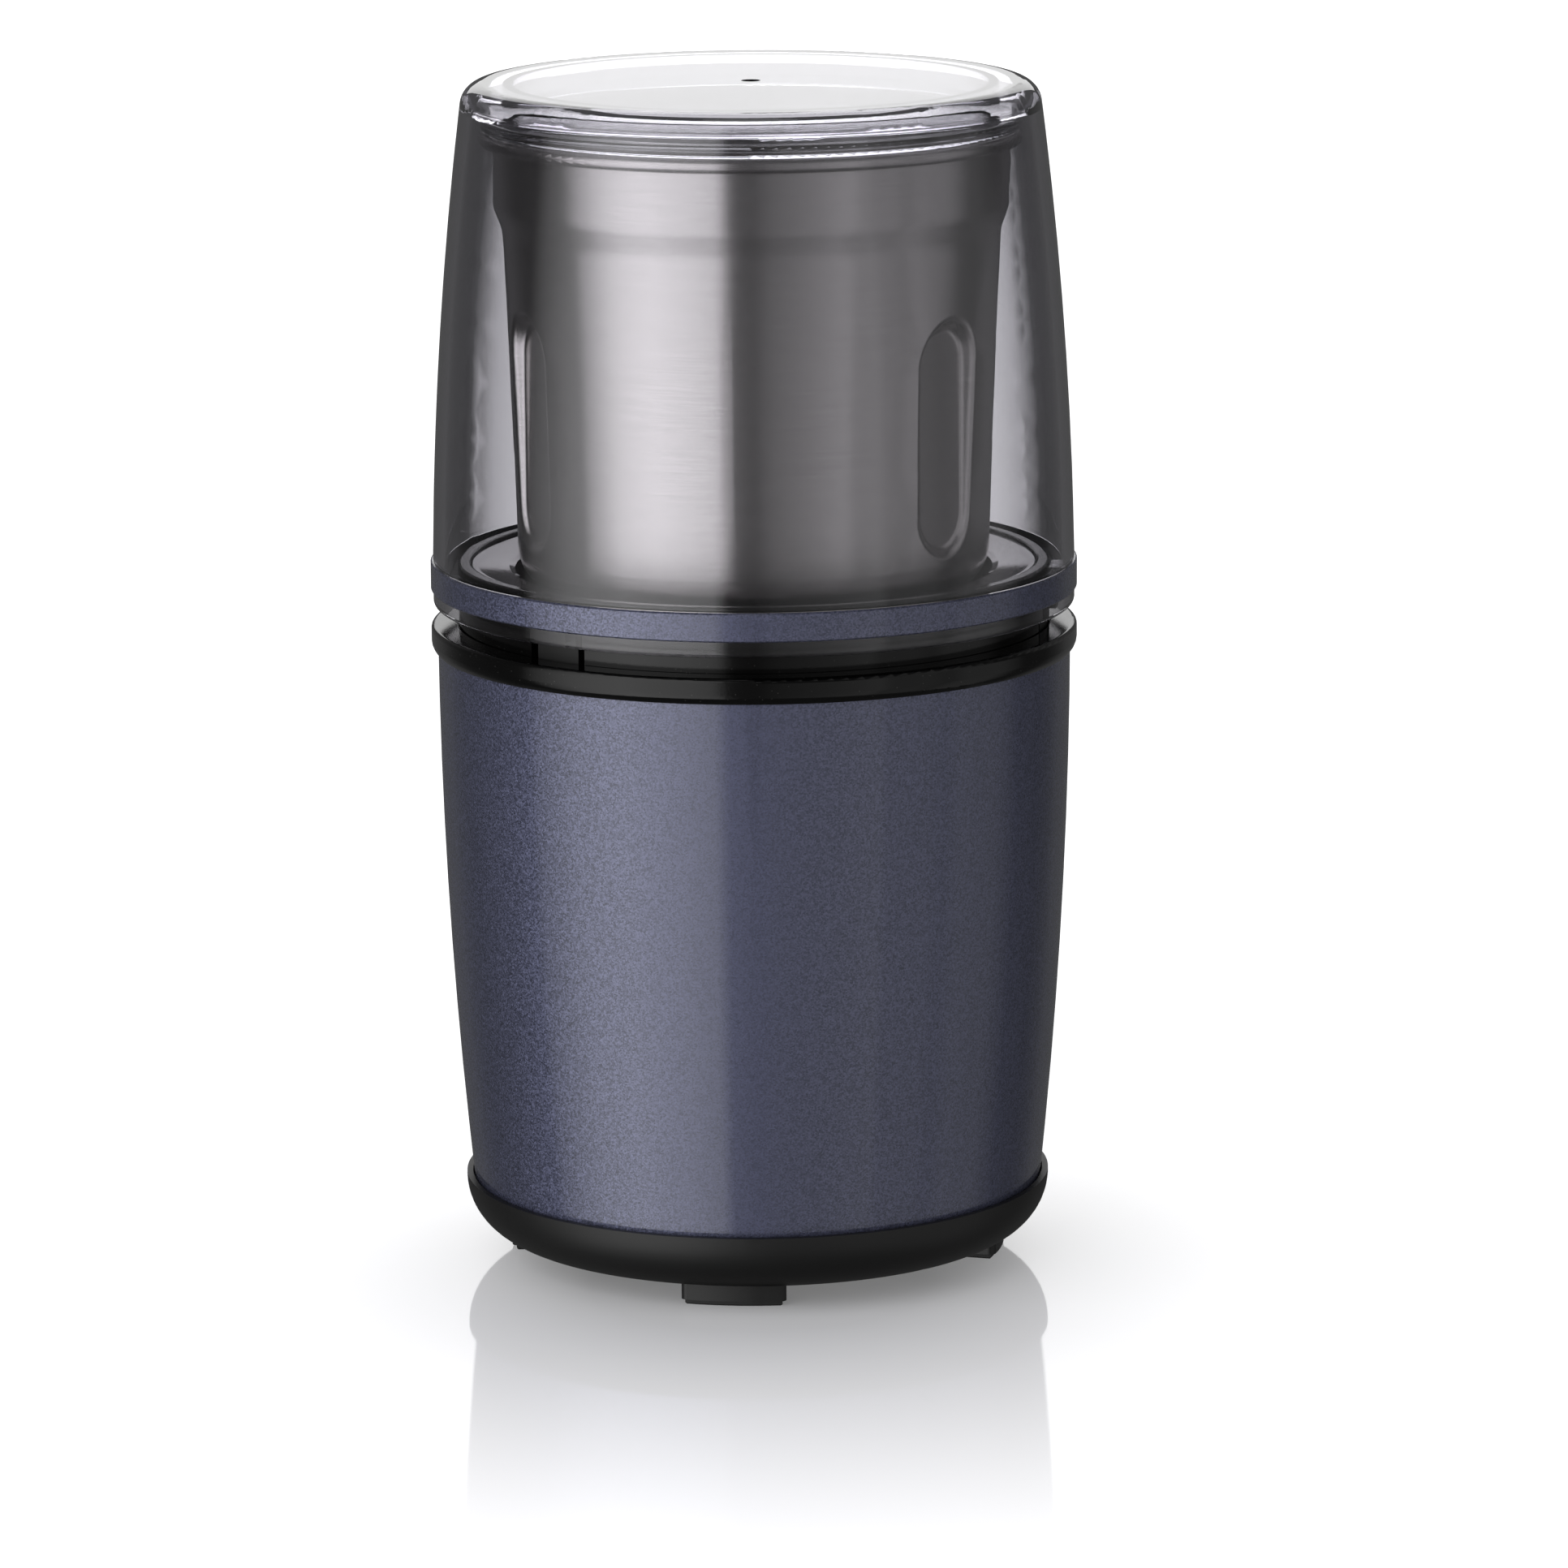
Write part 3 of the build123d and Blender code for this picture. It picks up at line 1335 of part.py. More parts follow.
ring_screw_length = inner_floor_z - hub_wall_z - ring_screw_inset
save(screws(ring_screw_spots, inner_floor_z, -ring_screw_length), "ring_screws")

# ----------------------------------------------------------------------------------------------
# Blade hub and blade
# ----------------------------------------------------------------------------------------------

with BuildPart() as blade_bush:
    with BuildSketch(Plane.XZ):
        section(blade_shaft_radius + running_gap, bush_radius, bush_z, inner_floor_z + bush_flange_thickness)
        section(
            blade_shaft_radius + running_gap,
            bush_flange_radius,
            inner_floor_z,
            inner_floor_z + bush_flange_thickness,
        )
    revolve(axis=Axis.Z)
    chamfer(blade_bush.faces().sort_by(Axis.Z)[-1].outer_wire().edges(), bush_chamfer)
save(blade_bush.part, "blade_bush")

hub_washer_z = bowl_floor_z - hub_washer_thickness
hub_washer = ring_part(bush_radius + seat_gap, hub_washer_radius, hub_washer_z, bowl_floor_z)
save(hub_washer, "hub_washer")

with BuildPart() as hub_nut:
    with BuildSketch(Plane.XY.offset(hub_washer_z)):
        RegularPolygon(hub_nut_flats / 2, 6, major_radius=False)
        Circle(bush_radius + thread_gap, mode=Mode.SUBTRACT)
    extrude(amount=-hub_nut_height)
save(hub_nut.part, "hub_nut")

shaft_foot_z = socket_z + socket_depth
with BuildPart() as blade_shaft:
    with BuildSketch(Plane.XY.offset(shaft_foot_z)):
        Circle(blade_shaft_radius)
    extrude(amount=cap_nut_z + cap_nut_bore - shaft_foot_z)
    chamfer(blade_shaft.edges().filter_by(GeomType.CIRCLE), blade_shaft_chamfer)
save(blade_shaft.part, "blade_shaft")

with BuildPart() as driven_coupling:
    with BuildSketch(Plane.XY.offset(socket_z)):
        Circle(socket_radius)
    extrude(amount=socket_depth + socket_roof)
    with BuildSketch(Plane.XY.offset(socket_z)):
        spline_plan(
            spline_root_radius + spline_gap, spline_tip_radius + spline_gap, spline_width + 2 * spline_gap
        )
    extrude(amount=socket_depth, mode=Mode.SUBTRACT)
    with BuildSketch(Plane.XY.offset(socket_z)):
        Circle(blade_shaft_radius + thread_gap)
    extrude(amount=socket_depth + socket_roof, mode=Mode.SUBTRACT)
save(driven_coupling.part, "driven_coupling")

with BuildPart() as cutting_blade:
    # a flat strip with one wing bent up gently and the other steeply, seen from the front
    with BuildSketch(Plane.XZ.offset(-blade_width / 2)):
        with BuildLine():
            right_tip = (blade_reach, blade_z + blade_tip_rise)
            left_tip = (-blade_reach, blade_z + blade_low_tip_rise)
            lower = Polyline(left_tip, (-blade_flat_half, blade_z), (blade_flat_half, blade_z), right_tip)
            upper = Polyline(
                (left_tip[0], left_tip[1] + blade_thickness),
                (-blade_flat_half, blade_z + blade_thickness),
                (blade_flat_half, blade_z + blade_thickness),
                (right_tip[0], right_tip[1] + blade_thickness),
            )
            Line(lower @ 0, upper @ 0)
            Line(lower @ 1, upper @ 1)
        make_face()
    extrude(amount=blade_width)
    # the plan is an S: each wing tapers to its tip along the trailing edge
    with BuildSketch(Plane.XY.offset(blade_z - root_depth)):
        half = blade_width / 2
        with BuildLine():
            for way in (1, -1):
                root = (way * blade_flat_half / 2, way * half)
                swell = (way * blade_swell[0], way * blade_swell[1])
                tip = (way * blade_reach, -way * blade_tip_sweep)
                heel = (way * blade_heel_reach, -way * half)
                ThreePointArc(root, swell, tip)
                Polyline(tip, heel, (-way * blade_flat_half / 2, -way * half))
        make_face()
        Circle(blade_shaft_radius + thread_gap, mode=Mode.SUBTRACT)
    extrude(amount=blade_tip_rise + blade_thickness + 2 * root_depth, mode=Mode.INTERSECT)
save(cutting_blade.part, "cutting_blade")

spacer_z = inner_floor_z + bush_flange_thickness + 2 * seat_gap
blade_spacer = ring_part(
    blade_shaft_radius + thread_gap, blade_shaft_radius + spacer_wall, spacer_z, blade_z
)
save(blade_spacer, "blade_spacer")

with BuildPart() as cap_nut:
    with BuildSketch(Plane.XY.offset(cap_nut_z)):
        RegularPolygon(cap_nut_radius, 6, major_radius=False)
    extrude(amount=cap_nut_skirt)
    with BuildSketch(Plane.XY.offset(cap_nut_z)):
        Circle(cap_nut_radius - cap_nut_dome_inset)
    extrude(amount=cap_nut_height)
    fillet(cap_nut.faces().sort_by(Axis.Z)[-1].edges(), cap_nut_round)
    with BuildSketch(Plane.XY.offset(cap_nut_z)):
        Circle(blade_shaft_radius + thread_gap)
    extrude(amount=cap_nut_bore + thread_gap, mode=Mode.SUBTRACT)
save(cap_nut.part, "cap_nut")

# ----------------------------------------------------------------------------------------------
# Sealing ring and lid
# ----------------------------------------------------------------------------------------------

with BuildPart() as lid_seal:
    with BuildSketch(Plane.XZ) as seal_section:
        seal_inner_radius = seal_skirt_radius - seal_skirt_wall
        seal_z = bowl_rim_z + seat_gap
        section(seal_inner_radius, seal_lip_radius, seal_z, seal_z + seal_lip_thickness)
        section(seal_inner_radius, seal_skirt_radius, seal_z - seal_skirt_depth, seal_z + seal_lip_thickness)
        fillet(seal_section.vertices().sort_by(Axis.X)[-2:], seal_lip_round)
    revolve(axis=Axis.Z)
save(lid_seal.part, "lid_seal")

lid_arc_z = lid_foot_z + lid_straight
lid_middle_z = (lid_arc_z + lid_top_z) / 2
cover_wall_radius = lid_radius - lid_wall
tab_inner_radius = skirt_radius + tab_gap
tab_outer_radius = lid_radius - lid_wall / 2 - seat_gap

with BuildPart() as lid_cover:
    with BuildSketch(Plane.XZ) as lid_section:
        with BuildLine():
            Line((0, lid_foot_z), (lid_radius, lid_foot_z))
            Line((lid_radius, lid_foot_z), (lid_radius, lid_arc_z))
            ThreePointArc(
                (lid_radius, lid_arc_z), (lid_waist_radius, lid_middle_z), (lid_crown_radius, lid_top_z)
            )
            Polyline((lid_crown_radius, lid_top_z), (0, lid_top_z), (0, lid_foot_z))
        make_face()
        fillet(lid_section.vertices().group_by(Axis.Y)[-1].sort_by(Axis.X)[-1], lid_crown_round)
        fillet(lid_section.vertices().group_by(Axis.Y)[0].sort_by(Axis.X)[-1], lid_foot_round)
    revolve(axis=Axis.Z)
    with BuildSketch(Plane.XZ) as hollow_section:
        with BuildLine():
            Line((0, lid_foot_z), (cover_wall_radius, lid_foot_z))
            Line((cover_wall_radius, lid_foot_z), (cover_wall_radius, lid_arc_z))
            hollow_arc = ThreePointArc(
                (cover_wall_radius, lid_arc_z),
                (lid_waist_radius - lid_wall, lid_middle_z),
                (lid_crown_radius - lid_wall, lid_under_z),
            )
            Polyline(hollow_arc @ 1, (0, lid_under_z), (0, lid_foot_z))
        make_face()
        fillet(hollow_section.vertices().group_by(Axis.Y)[-1].sort_by(Axis.X)[-1], lid_inner_round)
    revolve(axis=Axis.Z, mode=Mode.SUBTRACT)
    with BuildSketch(Plane.XZ):
        section(rib_radius - rib_wall, rib_radius, lid_under_z - rib_depth, lid_under_z + lid_roof / 2)
    revolve(axis=Axis.Z)
    with BuildSketch(Plane.XZ):
        section(lid_radius - band_inset, band_radius + root_depth, band_z, band_z + band_height)
    revolve(axis=Axis.Z, mode=Mode.SUBTRACT)
    with BuildSketch(Plane.XY.offset(tab_z)):
        for bearing in window_bearings:
            sector(tab_inner_radius, tab_outer_radius, bearing, tab_angle)
    extrude(amount=band_z + band_height - tab_z)
    with BuildSketch(Plane.XY.offset(lid_top_z)):
        Circle(gate_radius)
    extrude(amount=-gate_depth, mode=Mode.SUBTRACT)
save(lid_cover.part, "lid_cover")

lid_band = ring_part(
    lid_radius - band_inset + band_fit,
    band_radius,
    band_z + band_fit,
    band_z + band_height - band_fit,
    band_edge,
)
save(lid_band, "lid_band")
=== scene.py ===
"""Looks of the electric spice grinder: its finishes, its springs, a small studio and the camera."""

import json
import math

import bpy
from mathutils import Matrix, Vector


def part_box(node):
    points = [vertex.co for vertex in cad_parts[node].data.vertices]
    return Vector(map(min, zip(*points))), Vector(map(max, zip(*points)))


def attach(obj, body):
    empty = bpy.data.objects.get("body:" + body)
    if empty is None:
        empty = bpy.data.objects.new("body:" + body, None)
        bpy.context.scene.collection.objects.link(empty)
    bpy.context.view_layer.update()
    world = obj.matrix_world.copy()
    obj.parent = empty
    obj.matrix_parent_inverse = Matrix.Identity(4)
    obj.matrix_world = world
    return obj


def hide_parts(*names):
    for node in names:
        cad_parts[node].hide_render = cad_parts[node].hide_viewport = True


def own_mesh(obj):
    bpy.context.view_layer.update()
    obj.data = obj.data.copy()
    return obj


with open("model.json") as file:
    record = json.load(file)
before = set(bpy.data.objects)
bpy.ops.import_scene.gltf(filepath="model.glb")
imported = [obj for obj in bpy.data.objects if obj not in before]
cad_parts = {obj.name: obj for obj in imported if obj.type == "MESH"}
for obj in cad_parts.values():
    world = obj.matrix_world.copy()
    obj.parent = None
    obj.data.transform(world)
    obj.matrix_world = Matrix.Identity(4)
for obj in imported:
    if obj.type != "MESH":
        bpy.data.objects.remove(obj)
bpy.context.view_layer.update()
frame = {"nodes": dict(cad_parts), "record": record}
scene = bpy.context.scene
nodes = frame["nodes"]
MM = 0.001

# ----------------------------------------------------------------------------------------------
# Camera: a long lens, a little above the lid and looking down
# ----------------------------------------------------------------------------------------------

IMAGE_SIZE = 1932.0  # pixels
FOCAL_PIXELS = 9914.5
SENSOR = 36.0  # mm
CAMERA_SPOT = (0.00515, -1.4109, 0.3754)
CAMERA_PITCH = 11.641  # degrees below the horizon
CAMERA_ROLL = -0.33  # degrees

camera_data = bpy.data.cameras.new("camera")
camera_data.sensor_width = SENSOR
camera_data.lens = SENSOR * FOCAL_PIXELS / IMAGE_SIZE
camera_data.clip_start = 0.05
camera = bpy.data.objects.new("camera", camera_data)
camera.location = CAMERA_SPOT
tilt = Matrix.Rotation(math.radians(90 - CAMERA_PITCH), 4, "X")
camera.rotation_euler = (tilt @ Matrix.Rotation(math.radians(CAMERA_ROLL), 4, "Z")).to_euler()
scene.collection.objects.link(camera)
scene.camera = camera
scene.view_settings.view_transform = "Standard"

# Light crosses many clear walls here: lid, rib and sealing ring, on the way in and out.
scene.cycles.max_bounces = 32
scene.cycles.transmission_bounces = 24
scene.cycles.glossy_bounces = 12
scene.cycles.transparent_max_bounces = 24

# ----------------------------------------------------------------------------------------------
# Helpers for materials
# ----------------------------------------------------------------------------------------------


def linear(hex_colour):
    """An sRGB hex value as a linear colour with alpha."""
    channels = [int(hex_colour[i:i + 2], 16) / 255 for i in (1, 3, 5)]
    return [c / 12.92 if c <= 0.04045 else ((c + 0.055) / 1.055) ** 2.4 for c in channels] + [1.0]


def add(tree, kind, inputs=None, **settings):
    """Adds a node with its settings; inputs are values, or sockets to link from."""
    node = tree.nodes.new(kind)
    for name, value in settings.items():
        setattr(node, name, value)
    for name, value in (inputs or {}).items():
        if isinstance(value, bpy.types.NodeSocket):
            tree.links.new(value, node.inputs[name])
        else:
            node.inputs[name].default_value = value
    return node


def start_material(name, **values):
    """A material with its shader's plain values set; spaces in a socket's name are underscores."""
    material = bpy.data.materials.new(name)
    material.use_nodes = True
    tree = material.node_tree
    shader = tree.nodes["Principled BSDF"]
    for socket, value in values.items():
        shader.inputs[socket.replace("_", " ")].default_value = value
    place = add(tree, "ShaderNodeTexCoord").outputs["Object"]
    return material, tree, shader, place


def per_millimetre(size_mm):
    """Scale of a pattern whose features are this many millimetres across."""
    return 1 / (size_mm * MM)


# ----------------------------------------------------------------------------------------------
# Materials
# ----------------------------------------------------------------------------------------------


FLAKE_SIZE = 0.25  # mm; real flakes are finer, and are drawn as coarse as they need to show
FLAKE_LEAN = 0.26


def blue_flake_paint():
    """Metallic lacquer under a clear coat: mica flakes sparkle in a midnight blue ground."""
    material, tree, shader, place = start_material(
        "midnight_blue_flake_lacquer", Metallic=0.75, Roughness=0.55, Coat_Weight=0.8, Coat_Roughness=0.03
    )
    flakes = add(tree, "ShaderNodeTexVoronoi", {"Vector": place, "Scale": per_millimetre(FLAKE_SIZE)})
    grain = add(tree, "ShaderNodeSeparateColor", {"Color": flakes.outputs["Color"]})
    tone = add(tree, "ShaderNodeValToRGB", {"Fac": grain.outputs["Red"]})
    tone.color_ramp.elements[0].color = linear("#3f4254")
    tone.color_ramp.elements[1].color = linear("#686b86")
    tree.links.new(tone.outputs["Color"], shader.inputs["Base Color"])
    either_way = add(
        tree, "ShaderNodeVectorMath", {0: flakes.outputs["Color"], 1: (0.5, 0.5, 0.5)}, operation="SUBTRACT"
    )
    lean = add(
        tree, "ShaderNodeVectorMath", {0: either_way.outputs[0], "Scale": FLAKE_LEAN}, operation="SCALE"
    )
    wall = add(tree, "ShaderNodeNewGeometry").outputs["Normal"]
    leaning = add(tree, "ShaderNodeVectorMath", {0: wall, 1: lean.outputs[0]}, operation="ADD")
    normal = add(tree, "ShaderNodeVectorMath", {0: leaning.outputs[0]}, operation="NORMALIZE")
    tree.links.new(normal.outputs[0], shader.inputs["Normal"])
    return material


MOULD_GRAIN = 0.5  # mm
MOULD_GRAIN_DEPTH = 0.05  # mm
DUST_SPACING = 1.1  # mm
GRAIN_DEPTH = 0.1  # mm, on the plainer finishes


def moulded_black(name, colour, roughness, dust, gloss):
    """Injection-moulded black plastic: a fine mould grain; dust is a speck's share of its spacing."""
    material, tree, shader, place = start_material(name, Roughness=roughness, Specular_IOR_Level=gloss)
    grain = add(
        tree, "ShaderNodeTexNoise", {"Vector": place, "Scale": per_millimetre(MOULD_GRAIN), "Detail": 3.0}
    )
    bump = add(
        tree,
        "ShaderNodeBump",
        {"Height": grain.outputs["Fac"], "Strength": 0.12, "Distance": MOULD_GRAIN_DEPTH * MM},
    )
    tree.links.new(bump.outputs["Normal"], shader.inputs["Normal"])
    specks = add(tree, "ShaderNodeTexVoronoi", {"Vector": place, "Scale": per_millimetre(DUST_SPACING)})
    mask = add(tree, "ShaderNodeMath", {0: specks.outputs["Distance"], 1: dust}, operation="LESS_THAN")
    colours = add(
        tree,
        "ShaderNodeMix",
        {"Factor": mask.outputs[0], "A": linear(colour), "B": linear("#4a4a48")},
        data_type="RGBA",
    )
    tree.links.new(colours.outputs["Result"], shader.inputs["Base Color"])
    return material


SCRATCH_LENGTH = 100 / 9  # mm
SCRATCH_WIDTH = 1 / 6  # mm; real scratches are finer, and are drawn as coarse as they need to show


def brushed_stainless():
    """Stainless steel brushed round the axis: scratches run level, so highlights smear upright."""
    material, tree, shader, place = start_material(
        "brushed_stainless_steel", Metallic=1.0, Anisotropic=0.9, Anisotropic_Rotation=0.25
    )
    tangent = add(tree, "ShaderNodeTangent", direction_type="RADIAL", axis="Z")
    tree.links.new(tangent.outputs["Tangent"], shader.inputs["Tangent"])
    along, across = per_millimetre(SCRATCH_LENGTH), per_millimetre(SCRATCH_WIDTH)
    stretch = add(tree, "ShaderNodeMapping", {"Vector": place, "Scale": (along, along, across)})
    scratches = add(tree, "ShaderNodeTexNoise", {"Vector": stretch.outputs[0], "Scale": 1.0, "Detail": 4.0})
    colours = add(tree, "ShaderNodeValToRGB", {"Fac": scratches.outputs["Fac"]})
    colours.color_ramp.elements[0].position = 0.3
    colours.color_ramp.elements[0].color = linear("#c4c1c0")
    colours.color_ramp.elements[1].position = 0.7
    colours.color_ramp.elements[1].color = linear("#cecbca")
    tree.links.new(colours.outputs["Color"], shader.inputs["Base Color"])
    rough = add(
        tree, "ShaderNodeMapRange", {"Value": scratches.outputs["Fac"], "To Min": 0.245, "To Max": 0.28}
    )
    tree.links.new(rough.outputs["Result"], shader.inputs["Roughness"])
    return material


def metal(name, colour, roughness, grain_mm, bump_strength=0.05):
    """Plain metal whose polish is a little uneven, so its reflections aren't a mirror's."""
    material, tree, shader, place = start_material(name, Metallic=1.0, Base_Color=linear(colour))
    cloud = add(
        tree, "ShaderNodeTexNoise", {"Vector": place, "Scale": per_millimetre(grain_mm), "Detail": 3.0}
    )
    rough = add(
        tree,
        "ShaderNodeMapRange",
        {"Value": cloud.outputs["Fac"], "To Min": roughness * 0.8, "To Max": roughness * 1.25},
    )
    tree.links.new(rough.outputs["Result"], shader.inputs["Roughness"])
    bump = add(
        tree,
        "ShaderNodeBump",
        {"Height": cloud.outputs["Fac"], "Strength": bump_strength, "Distance": GRAIN_DEPTH * MM},
    )
    tree.links.new(bump.outputs["Normal"], shader.inputs["Normal"])
    return material


def plastic(name, colour, roughness, grain_mm):
    """Plain moulded or pressed piece with a faint mottle and grain."""
    material, tree, shader, place = start_material(name, Roughness=roughness)
    cloud = add(
        tree, "ShaderNodeTexNoise", {"Vector": place, "Scale": per_millimetre(grain_mm), "Detail": 4.0}
    )
    shade = add(tree, "ShaderNodeMapRange", {"Value": cloud.outputs["Fac"], "To Min": 0.85, "To Max": 1.1})
    base = add(
        tree,
        "ShaderNodeVectorMath",
        {0: linear(colour)[:3], "Scale": shade.outputs["Result"]},
        operation="SCALE",
    )
    tree.links.new(base.outputs[0], shader.inputs["Base Color"])
    bump = add(
        tree,
        "ShaderNodeBump",
        {"Height": cloud.outputs["Fac"], "Strength": 0.1, "Distance": GRAIN_DEPTH * MM},
    )
    tree.links.new(bump.outputs["Normal"], shader.inputs["Normal"])
    return material


def smoke_clear_plastic():
    """Polished clear plastic with a grey smoke tint, which deepens where the wall is seen edge-on."""
    material, tree = start_material(
        "smoke_clear_plastic", Roughness=0.0, IOR=1.5, Transmission_Weight=1.0, Base_Color=linear("#ffffff")
    )[:2]
    smoke = add(tree, "ShaderNodeVolumeAbsorption", {"Color": linear("#c3c1c9"), "Density": 330.0})
    tree.links.new(smoke.outputs[0], tree.nodes["Material Output"].inputs["Volume"])
    return material


def clear_silicone():
    """Clear moulded silicone rubber, a little softer in its gloss than the lid."""
    return start_material(
        "clear_silicone", Roughness=0.03, IOR=1.41, Transmission_Weight=1.0, Base_Color=linear("#f4f5f6")
    )[0]


finishes = {
    "blue_paint": blue_flake_paint(),
    # moulded blacks: satin on the cup, glossy and a little dusty round the deck, dull on inner pieces
    "satin_black_abs": moulded_black("satin_black_abs", "#141414", 0.45, 0.0, 0.35),
    "gloss_black_abs": moulded_black("gloss_black_abs", "#060606", 0.12, 0.07, 0.3),
    "black_nylon": moulded_black("glass_filled_black_nylon", "#0f0f0f", 0.45, 0.0, 0.35),
    "black_rubber": plastic("black_rubber", "#121212", 0.7, 0.6),
    # steels, from drawn and brushed sheet to ground, plated and varnished pieces
    "brushed_stainless": brushed_stainless(),
    "polished_stainless": metal("polished_stainless_steel", "#8d8b8c", 0.07, 4.0),
    "blade_steel": metal("ground_blade_steel", "#c4c4c4", 0.22, 1.0),
    "ground_steel": metal("ground_steel", "#b6b6b6", 0.25, 1.0),
    "zinc_steel": metal("zinc_plated_steel", "#b5b3ac", 0.32, 1.5),
    "lamination_steel": metal("varnished_laminations", "#55555a", 0.45, 0.5, 0.3),
    # the motor's other metals: the cast one is matt and grainy, the wire shiny under its enamel
    "die_cast_aluminium": metal("die_cast_aluminium", "#a9a9ab", 0.45, 1.2, 0.3),
    "enamelled_copper": metal("enamelled_copper_wire", "#9a4a22", 0.35, 0.4, 0.5),
    "copper": metal("bare_copper", "#c77b55", 0.3, 1.0),
    "bronze": metal("sintered_bronze", "#a4824a", 0.4, 0.3, 0.3),
    # small insulating and sliding pieces, all matt
    "cream_plastic": plastic("cream_moulded_plastic", "#d8d2c0", 0.5, 2.0),
    "carbon": plastic("pressed_carbon", "#2c2c2c", 0.6, 0.4),
    "cutout_casing": plastic("black_cutout_casing", "#222222", 0.5, 1.0),
    "red_fibre": plastic("red_vulcanised_fibre", "#7a231a", 0.6, 0.5),
    # clear pieces
    "clear_silicone": clear_silicone(),
    "smoke_clear_plastic": smoke_clear_plastic(),
}

slot_of = {piece["node"]: piece["material_slot"] for piece in frame["record"]["subparts"]}
for name, node in nodes.items():
    for slot in node.material_slots:
        slot.material = finishes[slot_of[name]]

# ----------------------------------------------------------------------------------------------
# Return springs, which on the grinder shorten as the press ring goes down; here they are built at one length
# ----------------------------------------------------------------------------------------------

SPRING_CIRCLE = 47.55 * MM
SPRING_BEARINGS = (19.5, 139.5, 259.5)  # degrees from the front
SPRING_RADIUS = 1.85 * MM
WIRE_RADIUS = 0.35 * MM
SPRING_TURNS = 5
WIRE_SIDES = 12
STEPS_PER_TURN = 24
SMOOTH_ANGLE = 40  # degrees


def wound_springs():
    """Compression springs of round wire, one on each peg of the carrier."""
    low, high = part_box("return_springs")
    height = high[2] - low[2]
    bpy.ops.mesh.primitive_circle_add(
        vertices=WIRE_SIDES, radius=WIRE_RADIUS, location=(SPRING_RADIUS, 0, 0), rotation=(math.pi / 2, 0, 0)
    )
    spring = bpy.context.object
    spring.name = "wound_springs"
    bpy.ops.object.transform_apply()
    coil = spring.modifiers.new("coil", "SCREW")
    coil.screw_offset = (height - 2 * WIRE_RADIUS) / SPRING_TURNS
    coil.iterations = SPRING_TURNS
    coil.steps = coil.render_steps = STEPS_PER_TURN
    bpy.ops.object.modifier_apply(modifier=coil.name)
    bpy.ops.object.mode_set(mode="EDIT")
    bpy.ops.mesh.select_all(action="SELECT")
    bpy.ops.mesh.remove_doubles(threshold=1e-6)
    bpy.ops.mesh.fill_holes(sides=0)
    bpy.ops.mesh.normals_make_consistent(inside=False)
    bpy.ops.object.mode_set(mode="OBJECT")
    bpy.ops.object.shade_smooth_by_angle(angle=math.radians(SMOOTH_ANGLE))
    spring.data.materials.append(finishes[slot_of["return_springs"]])
    springs = [spring]
    while len(springs) < len(SPRING_BEARINGS):
        bpy.ops.object.duplicate()
        springs.append(bpy.context.object)
    for spring, bearing in zip(springs, SPRING_BEARINGS):
        angle = math.radians(bearing - 90)
        spring.location = (
            SPRING_CIRCLE * math.cos(angle),
            SPRING_CIRCLE * math.sin(angle),
            low[2] + WIRE_RADIUS,
        )
        spring.select_set(True)
    bpy.ops.object.join()
    bpy.ops.object.transform_apply()
    joined = bpy.context.object
    joined.name = "wound_springs"
    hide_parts("return_springs")
    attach(joined, "root")
    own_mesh(joined)
    joined.select_set(False)


bpy.ops.object.select_all(action="DESELECT")
wound_springs()

# ----------------------------------------------------------------------------------------------
# Studio: white all round to the eye, and a drum of softboxes and dark flags to gloss and clear plastic
# ----------------------------------------------------------------------------------------------

FLOOR_RADIUS = 30.0
FLOOR_SIDES = 96
PAINTED_SHADE_CENTRE = (0.0, -0.03, 0.0)  # the floor's glow to the eye is weakest here, a painted shade round the object's foot, and turns to plain white away from it
FADE_START, FADE_END = 0.03, 0.25
# the floor's glow to the eye next to the object, a painted shade, and far from it, plain white
PAINTED_SHADE_LEVEL, FADE_WHITE = 0.16, 1.0
DRUM_RADIUS = 1.6
DRUM_SIDES = 144
DRUM_FOOT, DRUM_TOP = -1.4, 1.9
BACKDROP_HALF_ANGLE = 17.0  # degrees either side of straight behind
BACKDROP_FOOT = 0.36  # level above which gloss sees the backdrop
BACKDROP_LEVEL = 1.22
OVERHEAD_FOOT = 0.25  # level above which clear plastic sees the brighter upper backdrop
OVERHEAD_LEVEL = 5.0
CEILING_LEVEL = 0.12
TOP_LIGHT_ELEVATION = 80  # degrees above the horizon from which gloss sees the top light
TOP_LIGHT_LEVEL = 1.0
MATT_LEVEL = 0.4  # how bright the world is to matt surfaces

# How bright the drum is to gloss at each bearing from the front, positive to the right: the large
# key softbox fills the left, a dim one the right, and the far sides are dark flags.
DRUM_LEVELS = [
    (-180, 0.1),
    (-165, 0.1),
    (-145, 0.14),
    (-125, 0.07),
    (-100, 0.07),
    (-89, 0.1),
    (-84, 0.6),
    (-77, 1.1),
    (-68, 1.75),
    (-60, 2.1),
    (-47, 2.4),
    (-38, 2.2),
    (-25, 1.95),
    (-14, 1.6),
    (-9, 0.2),
    (1, 0.16),
    (8, 0.3),
    (28, 0.5),
    (45, 0.72),
    (49, 0.48),
    (64, 0.48),
    (72, 0.36),
    (80, 0.5),
    (96, 0.4),
    (110, 0.08),
    (125, 0.06),
    (145, 0.14),
    (165, 0.1),
    (180, 0.1),
]

# The same for light that passes through clear plastic: the backdrop is little wider than the view,
# so walls seen nearly edge-on bend the eye past it and turn dark.
THROUGH_LEVELS = [
    (-180, 1.1),
    (-173.5, 1.1),
    (-172, 0.6),
    (-170, 0.12),
    (-160, 0.06),
    (-90, 0.1),
    (-80, 1.0),
    (-15, 1.0),
    (-9, 0.2),
    (90, 0.3),
    (160, 0.06),
    (170, 0.12),
    (172, 0.6),
    (173.5, 1.1),
]


